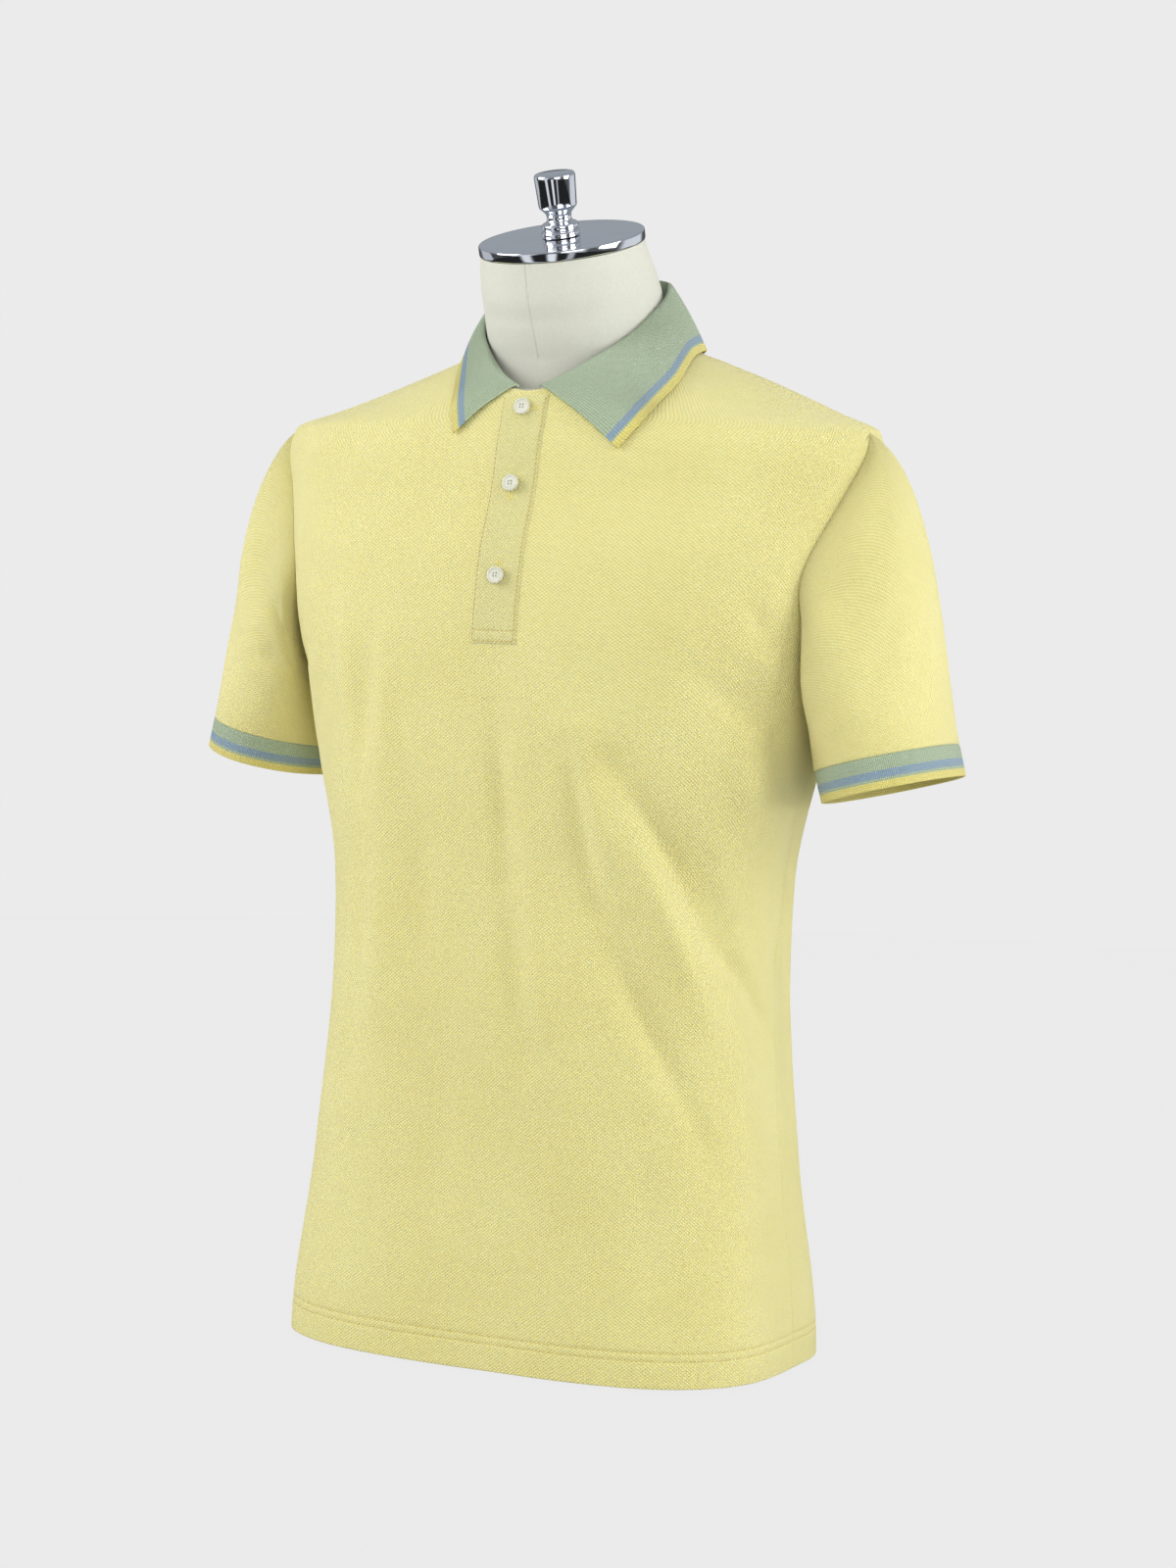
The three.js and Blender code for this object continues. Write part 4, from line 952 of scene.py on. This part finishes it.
def sleeve_point(start, angle, share):
    up = ((1 + np.cos(np.radians(angle))) / 2)[..., None]
    forward = np.sin(np.radians(angle))[..., None]
    out, down, pull = (
        LEAVE_ARMPIT[name] + (LEAVE_TIP[name] - LEAVE_ARMPIT[name]) * up for name in ("out", "down", "pull")
    )
    leave = unit(np.concatenate([out, -LEAVE_FORWARD * forward, -down], -1))
    reach = SLEEVE_REACH * pull
    s2, s3 = share**2, share**3
    return (
        start * (2 * s3 - 3 * s2 + 1)
        + leave * reach * (s3 - 2 * s2 + share)
        + cuff_point(angle, 0) * (3 * s2 - 2 * s3)
        + CUFF_AXIS * reach * (s3 - s2)
    )


def mirrored(side, *grids):
    """Grids of the left side, turned over for the right."""
    flip = np.array([1 if side == "left" else -1, 1, 1])
    return [grid * flip for grid in grids]


def sleeve(side):
    hand = 1 if side == "left" else -1
    degrees, z, angle = armhole_ring()
    edge, normal = mirrored(side, cloth_body(degrees * hand, z), body_normal(degrees * hand, z))
    way = np.array(ARMHOLE_MIDDLE) - edge
    way -= normal * (way * normal).sum(-1, keepdims=True)
    start = edge - unit(way) * SLEEVE_LAP
    first, last = [0, 0.004, 0.009, 0.016, 0.025], [0.99, 0.995, 1]
    shares = np.concatenate([first, np.linspace(0.035, 0.985, 82), last])
    points = np.stack([sleeve_point(start, angle, share) for share in shares])
    normals = grid_normals(points, True)
    signed = wrapped(angle)[None, :]
    along = shares[:, None]
    down = along * SLEEVE_LENGTH
    grown = np.minimum(1, along * SLEEVE_FOLD_ENDS["armhole"])
    soft = grown * np.minimum(1, (1 - along) * SLEEVE_FOLD_ENDS["cuff"])
    depth = fold_depth(SLEEVE_FOLDS + SLEEVE_CREASES[side], signed, along, (1, SLEEVE_LENGTH)) * soft
    depth = depth + ripples(signed * 1.1, down + 40 * hand) * soft
    depth = depth + seam_dip(down, 0.15, 0.9) + seam_dip(SLEEVE_LENGTH - down, 0.5, 1.0)
    points = points - normals * depth[..., None]
    points, inward = mirrored(side, points, -grid_normals(points, True) * CLOTH)
    around = np.linspace(0, 360 * SLEEVE_DEGREE_WIDTH, SLEEVE_COLUMNS + 1)
    flat = np.stack(np.broadcast_arrays(around, -down), -1)
    return new_object(wall(f"sleeve_cloth_{side}", points, inward, flat, True), pique)


def armhole_seam(side):
    """Sewn edge that closes the groove between a sleeve and the body. Its ends meet in the armpit."""
    degrees, z, _ = armhole_ring()
    degrees = degrees if side == "left" else -degrees
    middle, normal = cloth_body(degrees, z), body_normal(degrees, z)
    along = unit(np.roll(middle, -1, 0) - np.roll(middle, 1, 0))
    across = unit(np.cross(along, normal))
    sunk = middle - normal * ARMHOLE_SEAM_DEPTH
    rings = rings_round(sunk, across, normal, ARMHOLE_SEAM_SIDES, ARMHOLE_SEAM_RADIUS, ARMHOLE_SEAM_RADIUS)
    mesh = solid_of_rings(f"armhole_seam_{side}", np.roll(rings, SLEEVE_COLUMNS // 2 - 1, 0))
    return new_object(mesh, thread["yellow"])


def cuff(side):
    hand = 1 if side == "left" else -1
    angle = np.linspace(0, 360, SLEEVE_COLUMNS, endpoint=False)
    close = np.linspace(3.4, CUFF_DEPTH - 1, 14)
    belows = np.concatenate([[0.1, 0.6, 1.3, 2.2], close, [CUFF_DEPTH - 0.4, CUFF_DEPTH]])
    points = np.stack([cuff_point(angle, below, CUFF_TAPER * below) for below in belows])
    normals = grid_normals(points, True)
    wavy = 0.35 * np.sin(np.radians(angle * 3 + 40 * hand)) + 0.2 * np.sin(np.radians(angle * 7))
    dip = seam_dip(belows, 0.8, 1.0)[:, None] + wavy[None, :] * (belows / CUFF_DEPTH)[:, None]
    points = points - normals * dip[..., None]
    points, inward = mirrored(side, points, -grid_normals(points, True) * RIB)
    around = np.linspace(0, math.pi * (CUFF_HALF_WIDTH + CUFF_HALF_DEPTH), SLEEVE_COLUMNS + 1)
    flat = np.stack(np.broadcast_arrays(around, (CUFF_DEPTH - belows)[:, None]), -1)
    return new_object(wall(f"cuff_band_{side}", points, inward, flat, True), cuff_rib)


def body_share(p):
    """Share of the way across the body section that points lie at: 1 is on the surface."""
    half, front, back, square = body_section(p[..., 2])
    ahead = np.abs(p[..., 1]) / np.where(p[..., 1] < 0, front, back)
    turn = p[..., 0] ** 2 / np.maximum(p[..., 0] ** 2 + (half * ahead) ** 2, 1e-9)
    across = np.abs(p[..., 0] - table_value(NECK_SHIFT, "x", p[..., 2]) * turn) / half
    return (across**square + ahead**square) ** (1 / square)


def clear_of_body(p, distance, passes=6, step=0.2):
    """Points moved out until they clear the smooth body by a distance, which runs out above the neckline."""
    moved = p.copy()
    for _ in range(passes):
        here = body_share(moved)
        slope = np.stack([(body_share(moved + step * axis) - here) / step for axis in np.eye(3)], -1)
        steep = np.linalg.norm(slope, axis=-1)
        free = np.maximum(0, moved[..., 2] - CLEAR_TOP)
        short = np.maximum(0, distance - free - (here - 1) / steep)
        moved = moved + slope * (short / steep)[..., None]
    return moved


def neck_edge(degrees, side):
    """Foot of the collar's stand, just inside the neckline."""
    edge = smooth_body(side * degrees, neck_height(degrees))
    normal = body_normal(side * degrees, neck_height(degrees))
    level = normal * LEVEL
    lean = np.linalg.norm(level, axis=-1, keepdims=True)
    return edge - unit(level) * (NECK_WALL * lean + COLLAR_SEAM + RIB) + UP * COLLAR_SEAM


def collar_lines(side, shares):
    """Sections of the collar on one side: up the stand, over the roll and down the fall."""
    hand = "left" if side > 0 else "right"
    columns = ("place", "base", "fold_x", "fold_y", "fold_z", "edge_x", "edge_y", "edge_z")
    last = len(COLLAR_STATIONS) - 1
    rows = [
        dict(zip(columns, (index / last, row["base"], *row["fold"], *row[hand])))
        for index, row in enumerate(COLLAR_STATIONS)
    ]

    def value(column):
        return table_value(rows, column, shares, "place")

    def point(name):
        return np.stack([side * value(f"{name}_x"), value(f"{name}_y"), value(f"{name}_z")], -1)

    base = neck_edge(value("base"), side)
    fold = point("fold")
    edge = clear_of_body(point("edge"), COLLAR_LIFT)
    away = unit((edge - base) * LEVEL)
    rise = np.minimum(1, np.linalg.norm(fold - base, axis=-1, keepdims=True) / FULL_STAND)
    depth = ROLL_AT_FRONT + (ROLL_DEPTH - ROLL_AT_FRONT) * rise
    line = [base, *(base + (fold - base) * part for part in STAND_PARTS)]
    line += [fold + away * depth * out - UP * down for out, down in (ROLL_INNER, ROLL_TOP)]
    turn = clear_of_body(fold + away * depth * ROLL_OUTER[0] - UP * ROLL_OUTER[1], RIB + COLLAR_SEAM)
    line.append(turn)
    for part in FALL_PARTS:
        bow = math.sin(math.pi * part)
        bowed = turn + (edge - turn) * part + away * FALL_BOW[0] * bow + UP * FALL_BOW[1] * bow
        line.append(clear_of_body(bowed, FALL_CLEAR + (COLLAR_LIFT - FALL_CLEAR) * part))
    return np.stack([*line, edge], 1)


def smooth_path(points, steps):
    """Curve through the points of each row, with so many steps between neighbours."""
    first, last = 2 * points[:, :1] - points[:, 1:2], 2 * points[:, -1:] - points[:, -2:-1]
    padded = np.concatenate([first, points, last], 1)
    pieces = []
    for index in range(points.shape[1] - 1):
        p0, p1, p2, p3 = (padded[:, index + k] for k in range(4))
        for step in range(steps):
            t = step / steps
            bend = (2 * p0 - 5 * p1 + 4 * p2 - p3) * t**2 + (3 * p1 - p0 - 3 * p2 + p3) * t**3
            pieces.append(0.5 * (2 * p1 + (p2 - p0) * t + bend))
    pieces.append(points[:, -1])
    return np.stack(pieces, 1)


def collar():
    shares = np.linspace(0, 1, 90)
    right = collar_lines(-1, shares)
    left = collar_lines(1, shares)
    points = smooth_path(np.concatenate([right[:-1], left[::-1]]), COLLAR_STEPS)
    steps = np.linalg.norm(np.diff(points, axis=1), axis=-1)
    from_edge = np.concatenate([np.cumsum(steps[:, ::-1], 1)[:, ::-1], np.zeros((len(points), 1))], 1)
    run = np.linalg.norm(np.diff(points[:, COLLAR_ROLL_COLUMN], axis=0), axis=-1)
    along = np.concatenate([[0], np.cumsum(run)])
    flat = np.stack(np.broadcast_arrays(along[:, None], from_edge), -1)
    mesh = wall("collar_cloth", points, grid_normals(points, False) * RIB, flat, False, lip=0.5)
    return new_object(mesh, collar_rib)


def placket_surface(x, z, rise):
    """Points so far above the front at a distance from the centre line, and the way they face."""
    half = body_section(z)[0]
    degrees = np.degrees(np.arctan2(np.abs(x) / half, 1.0)) * np.sign(x)
    for _ in range(6):
        reached = smooth_body(degrees, z)[..., 0]
        slope = (smooth_body(degrees + 0.5, z)[..., 0] - reached) / 0.5
        degrees = degrees + (x - reached) / slope
    normal = body_normal(degrees, z)
    return cloth_body(degrees, z) + normal * (rise - hem_dip(z, degrees * DEGREE_WIDTH))[..., None], normal


def placket():
    across = np.array([0, 0.15, 0.5, 1.0, 1.5, 1.9, 2.6, 4, 6, 9, 12, 15])
    x = np.concatenate([across, [PLACKET_WIDTH / 2], (PLACKET_WIDTH - across)[::-1]]) - PLACKET_WIDTH / 2
    low = np.array([0, 0.3, 0.9, 1.5, 2.1, 3.2, 5, 7.4, 8.4, 9.0, 9.6, 10.6])
    high = np.arange(PLACKET_BOTTOM + 13, PLACKET_TOP, 2.5)
    x, z = np.meshgrid(x, np.concatenate([PLACKET_BOTTOM + low, high, [PLACKET_TOP]]))
    edge = np.minimum(PLACKET_WIDTH / 2 - np.abs(x), np.maximum(z - PLACKET_BOTTOM, 0))
    rise = PLACKET_RISE - seam_dip(edge, 1.05, 0.9) - seam_dip(edge - PLACKET_INSET, 0.5, 0.6)
    rise = rise - seam_dip(z - PLACKET_BOTTOM - PLACKET_BOX, 0.5, 0.6)
    points, normals = placket_surface(x, z, rise)
    mesh = wall("placket_strip", points, -normals * PLACKET_WALL, np.stack([x, z], -1), False, lip=0.15)
    return new_object(mesh, pique)


def placket_stitching():
    half = PLACKET_WIDTH / 2 - PLACKET_INSET
    low = PLACKET_BOTTOM + PLACKET_INSET
    up = np.arange(low, PLACKET_TOP - 1, 1.5)
    across = np.arange(-half, half + 0.1, 1.0)
    lines = {
        "edge_right": (-half + 0 * up, up),
        "edge_left": (half + 0 * up, up),
        "bottom_line": (across, low + 0 * across),
        "box_line": (across, PLACKET_BOTTOM + PLACKET_BOX + 0 * across),
    }
    rise = PLACKET_RISE - PLACKET_STITCH_SINK
    return [
        stitches(f"placket_{label}", *placket_surface(x, z, rise + 0 * x), thread["placket"])
        for label, (x, z) in lines.items()
    ]


def hem_stitching(label, middle):
    """The twin lines of stitching on one panel's hem."""
    made = []
    for index, height in enumerate(HEM_STITCHES, start=1):
        degrees = np.linspace(middle - SIDE + 0.8, middle + SIDE - 0.8, 400)
        z = height + 0 * degrees
        normal = body_normal(degrees, z)
        path = cloth_body(degrees, z) - normal * hem_dip(z, wrapped(degrees) * DEGREE_WIDTH)[:, None]
        made.append(stitches(f"hem_stitches_{label}_{index}", path, normal, thread["yellow"]))
    return made


def turned_mesh(name, profile, segments, matrix):
    """Surface turned round its axis from radius and height in mm, set by a matrix in metres."""
    rings = [[(r * math.cos(a), r * math.sin(a), h) for a in circle(segments)] for r, h in profile]
    mesh = solid_of_rings(name, rings)
    mesh.transform(matrix)
    return mesh


def button_matrix(index, height):
    """Matrix in metres that sets details on a button's outer face."""
    _, normal = placket_surface(np.array([0.0]), np.array([float(height)]), np.array([PLACKET_RISE]))
    forward = Vector(normal[0])
    across = Vector((1, 0, 0))
    up = forward.cross(across).normalized()
    turned = Matrix((across, up, forward)).transposed()
    low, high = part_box(f"button_{index}")
    centre = (Vector(low) + Vector(high)) / 2
    face = turned @ Vector((0, 0, (BUTTON_THICKNESS / 2 - BUTTON_DISH) * MM))
    return Matrix.Translation(centre + face) @ turned.to_4x4()


def button_detail(index, height):
    """Raised rim, the threads that cross between the holes, and the thread that fills them, coloured dark
    with painted shade.
    """
    matrix = button_matrix(index, height)
    turn = circle(64)
    out = np.stack([np.cos(turn), np.sin(turn), 0 * turn], -1)
    rim = rings_round(out * RIM_RADIUS + UP * RIM_LIFT, out, UP, 10, RIM_HALF_WIDTH, RIM_HALF_HEIGHT)
    y = np.linspace(-STRAND_REACH, STRAND_REACH, 9)
    lift = STRAND_LIFT * np.cos(y / STRAND_REACH * math.pi / 2)
    places = [x + shift for x in (-HOLE_SPREAD, HOLE_SPREAD) for shift in (-STRAND_SHIFT, STRAND_SHIFT)]
    strands = np.stack([np.stack([x + 0 * y, y, lift], -1) for x in places])
    strands = rings_round(strands, ACROSS, UP, THREAD_SIDES, STRAND_RADIUS, STRAND_RADIUS)
    rim_mesh = loop_of_rings(f"button_rim_{index}", rim)
    thread_mesh = threads_of_rings(f"button_thread_{index}", strands)
    for mesh, material in ((rim_mesh, pearl), (thread_mesh, thread["white"])):
        mesh.transform(matrix)
        new_object(mesh, material)
    # A dark plug in each hole: thread, with the hole's shade painted into its colour
    for corner, (x, y) in enumerate(((1, 1), (-1, 1), (-1, -1), (1, -1))):
        place = matrix @ Matrix.Translation(Vector((x * HOLE_SPREAD, y * HOLE_SPREAD, -SHADED_BUNDLE_DEPTH)) * MM)
        mesh = turned_mesh(f"button_shaded_bundle_{index}_{corner}", SHADED_BUNDLE_PROFILE, 12, place)
        new_object(mesh, thread["shaded"])


def buttonhole(index, height):
    """Closely stitched ring round the slit that a button is pushed through."""
    hole = BUTTONHOLES[index - 1]
    bend = BUTTONHOLE_WIDTH / 2 * BUTTONHOLE_EDGE["inset"]
    straight = (BUTTONHOLE_LENGTH - BUTTONHOLE_WIDTH) / 2
    turn = np.linspace(-math.pi / 2, math.pi / 2, 9)
    run = np.linspace(straight, -straight, 40)[1:-1]
    end = np.stack([straight + bend * np.cos(turn), bend * np.sin(turn)], -1)
    half = np.concatenate([end, np.stack([run, bend + 0 * run], -1)])
    path = np.concatenate([half, -half])
    if not hole["is_level"]:
        path = path[:, ::-1]
    x, z = path[:, 0] + hole["x"], path[:, 1] + hole["z"] + height
    centre, normal = placket_surface(x, z, PLACKET_RISE + 0 * x)
    along = unit(np.roll(centre, -1, 0) - np.roll(centre, 1, 0))
    side = unit(np.cross(along, normal))
    ribbed = 1 + BUTTONHOLE_EDGE["ribbing"] * (np.arange(len(path)) % 2)
    high = BUTTONHOLE_EDGE["half_height"] * ribbed[:, None, None]
    rings = rings_round(centre, side, normal, THREAD_SIDES, BUTTONHOLE_EDGE["half_width"], high)
    return new_object(loop_of_rings(f"buttonhole_{index}", rings), thread["buttonhole"])


# Dress form

def on_neck(height):
    """Matrix in metres of a piece so far above the top of the leaning neck."""
    x, y, z = NECK_TOP
    shift = Vector((x, y - height * math.sin(NECK_TILT), z + height * math.cos(NECK_TILT))) * MM
    return Matrix.Translation(shift) @ Matrix.Rotation(NECK_TILT, 4, "X")


def form_angles():
    """Degrees round the form, closest together at the front and back seams."""
    close = np.array([0.25, 0.55, 0.95, 1.5, 2.4])
    half = np.concatenate([[0], close, np.linspace(4, 176, 80), 180 - close[::-1]])
    return np.concatenate([half, 180 + half])


def form_cover():
    angles = form_angles()
    start = FORM_HEIGHTS[-1]
    heights = [np.full(len(angles), float(z)) for z in FORM_HEIGHTS]
    top = neck_height(np.where(angles > 180, 360 - angles, angles)) - FORM_COLLAR_DROP
    heights += [start + (top - start) * share for share in FORM_SHOULDER_SHARES]
    rings = []
    for z in heights:
        setback = FORM_WALL + table_value(FORM_SETBACK, "distance", z)
        ring = smooth_body(angles, z) - body_normal(angles, z) * setback[:, None]
        if z.max() < FORM_HEIGHTS[2]:
            ring[:, 2] = z
        rings.append(ring)
    turn = np.radians(angles)
    seam_gap = np.minimum(np.abs(wrapped(angles)), np.abs(180 - angles))
    for below in np.concatenate([[88, 76], np.linspace(68, 1.5, 34), [0.6, 0]]):
        section = {name: table_value(NECK_SECTIONS, name, below, "below") for name in NECK_SECTIONS[0]}
        groove = seam_dip(seam_gap * 1.02, 0.6, 0.55) if below < NECK_SEAM_START else 0
        pucker = 0.15 * math.sin(below / 1.7) * seam_dip(seam_gap, 1, 3)
        fit = 1 - (groove + pucker) / section["width"]
        depth = np.where(np.cos(turn) > 0, section["front"], section["rear"])
        x = section["width"] * fit * np.sin(turn)
        y = section["back"] - depth * fit * np.cos(turn)
        lean_y = y * math.cos(NECK_TILT) + below * math.sin(NECK_TILT)
        lean_z = y * math.sin(NECK_TILT) - below * math.cos(NECK_TILT)
        rings.append(np.stack([x, lean_y + NECK_TOP[1], lean_z + NECK_TOP[2]], -1))
    return new_object(solid_of_rings("form_cover", rings), canvas)


def turned_metal(name, profile, segments, height):
    return new_object(turned_mesh(name, profile, segments, on_neck(height)), chrome)


def smooth_by_angle(piece):
    """Flat faces stay flat where they meet at a sharp angle."""
    bpy.context.view_layer.objects.active = piece
    piece.select_set(True)
    bpy.ops.object.shade_smooth_by_angle(angle=SHARP_ANGLE)
    piece.select_set(False)


# Build

SIDES = ("left", "right")
front = panel("front_cloth", True)
back = panel("back_cloth", False)
sleeves = {side: sleeve(side) for side in SIDES}
cuffs = {side: cuff(side) for side in SIDES}
armhole_seams = {side: armhole_seam(side) for side in SIDES}
collar_piece = collar()
placket_piece = placket()
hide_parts("front")
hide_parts("back")
for side in SIDES:
    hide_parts(f"sleeve_{side}")
    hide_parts(f"cuff_{side}")
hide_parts("collar")
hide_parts("placket")

hem_front = hem_stitching("front", 0)
hem_back = hem_stitching("back", 180)
placket_lines = placket_stitching()
for number, button_height in enumerate(BUTTON_HEIGHTS, start=1):
    button_detail(number, button_height)
    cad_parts[f"button_{number}"].material_slots[0].material = pearl
    buttonhole(number, button_height)

cover = form_cover()
cap = turned_metal("cap_plate", CAP_PROFILE, 160, CAP_SEAT)
knob = turned_metal("finial_knob", FINIAL_PROFILE, 96, CAP_THICKNESS + 2 * CAP_SEAT)
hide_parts("form_body")
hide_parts("form_neck_cap")
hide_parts("form_finial")
for piece in (cap, knob, cover):
    smooth_by_angle(piece)


# Floor, light and camera

def floor():
    """Pale floor whose colour runs into the background, so that only a soft shadow shows."""
    mesh = bpy.data.meshes.new("floor")
    ring = [(FLOOR_RADIUS * math.cos(a), FLOOR_RADIUS * math.sin(a), 0) for a in circle(96)]
    mesh.from_pydata(ring, [], [list(range(len(ring)))])
    shader = Shader("floor", {"Roughness": 0.9, "Specular IOR Level": 0.0})
    mesh.materials.append(shader.colour(srgb(*FLOOR_COLOUR)))
    # Painted reflection: for glossy rays the floor glows with grey bands, which the polished metal mirrors
    bands = shader.bands(shader.place("Object"), MIRROR_BANDS["floor"])
    pale, mirror = (
        shader.node("ShaderNodeEmission", (colour,)).outputs[0] for colour in (srgb(*BACKGROUND), bands)
    )
    share = shader.maths("MULTIPLY", shader.rays("Is Camera Ray"), FLOOR_FADE)
    seen = shader.blend(share, shader.surface.outputs[0], pale)
    whole = shader.blend(shader.rays("Is Glossy Ray"), seen, mirror)
    shader.feed(shader.tree.nodes["Material Output"].inputs["Surface"], whole)
    piece = bpy.data.objects.new("floor", mesh)
    bpy.context.collection.objects.link(piece)


def soft_light(name, place, aim, size, power):
    data = bpy.data.lights.new(name, "AREA")
    data.shape = "RECTANGLE"
    data.size, data.size_y = size
    data.energy = power
    lamp = bpy.data.objects.new(name, data)
    lamp.location = place
    lamp.rotation_euler = (Vector(aim) - Vector(place)).to_track_quat("-Z", "Y").to_euler()
    bpy.context.collection.objects.link(lamp)


def studio_world():
    """Pale background, dimmer light from all round, and bands that only polished metal mirrors."""
    world = bpy.data.worlds.new("studio")
    world.use_nodes = True
    nodes = Nodes(world.node_tree)
    place = nodes.place("Generated")
    height = nodes.spread(nodes.axes(place)["Z"], *OVERHEAD_HEIGHTS, 0.0, 1.0)
    mirrored_sky = nodes.mix(height, nodes.bands(place, MIRROR_BANDS["level"]), srgb(*OVERHEAD))
    seen, ambient, mirror = (
        nodes.node("ShaderNodeBackground", feeds).outputs[0]
        for feeds in ((srgb(*BACKGROUND),), ((1.0, 1.0, 1.0, 1.0), AMBIENT), (mirrored_sky,))
    )
    plain = nodes.blend(nodes.rays("Is Camera Ray"), ambient, seen)
    whole = nodes.blend(nodes.rays("Is Glossy Ray"), plain, mirror)
    nodes.feed(nodes.tree.nodes["World Output"].inputs["Surface"], whole)
    bpy.context.scene.world = world


def camera():
    """Camera at the photograph's viewing angle."""
    azimuth, height, roll = (math.radians(CAMERA[key]) for key in ("azimuth", "height", "roll"))
    level = Vector((math.cos(azimuth), math.sin(azimuth), 0))
    behind = Vector((math.sin(azimuth), -math.cos(azimuth), 0))
    back_way = behind * math.cos(height) + Vector(UP) * math.sin(height)
    upright = back_way.cross(level)
    right = level * math.cos(roll) + upright * math.sin(roll)
    up = upright * math.cos(roll) - level * math.sin(roll)
    data = bpy.data.cameras.new("camera")
    data.lens = CAMERA["lens"]
    data.sensor_width = CAMERA["sensor"]
    eye = bpy.data.objects.new("camera", data)
    turned = Matrix((right, up, back_way)).transposed().to_4x4()
    eye.matrix_world = Matrix.Translation(Vector(CAMERA["aim"]) + back_way * CAMERA["distance"]) @ turned
    bpy.context.collection.objects.link(eye)
    bpy.context.scene.camera = eye


floor()
studio_world()
for light in LIGHTS:
    soft_light(**light)
camera()
bpy.context.scene.view_settings.view_transform = "Standard"
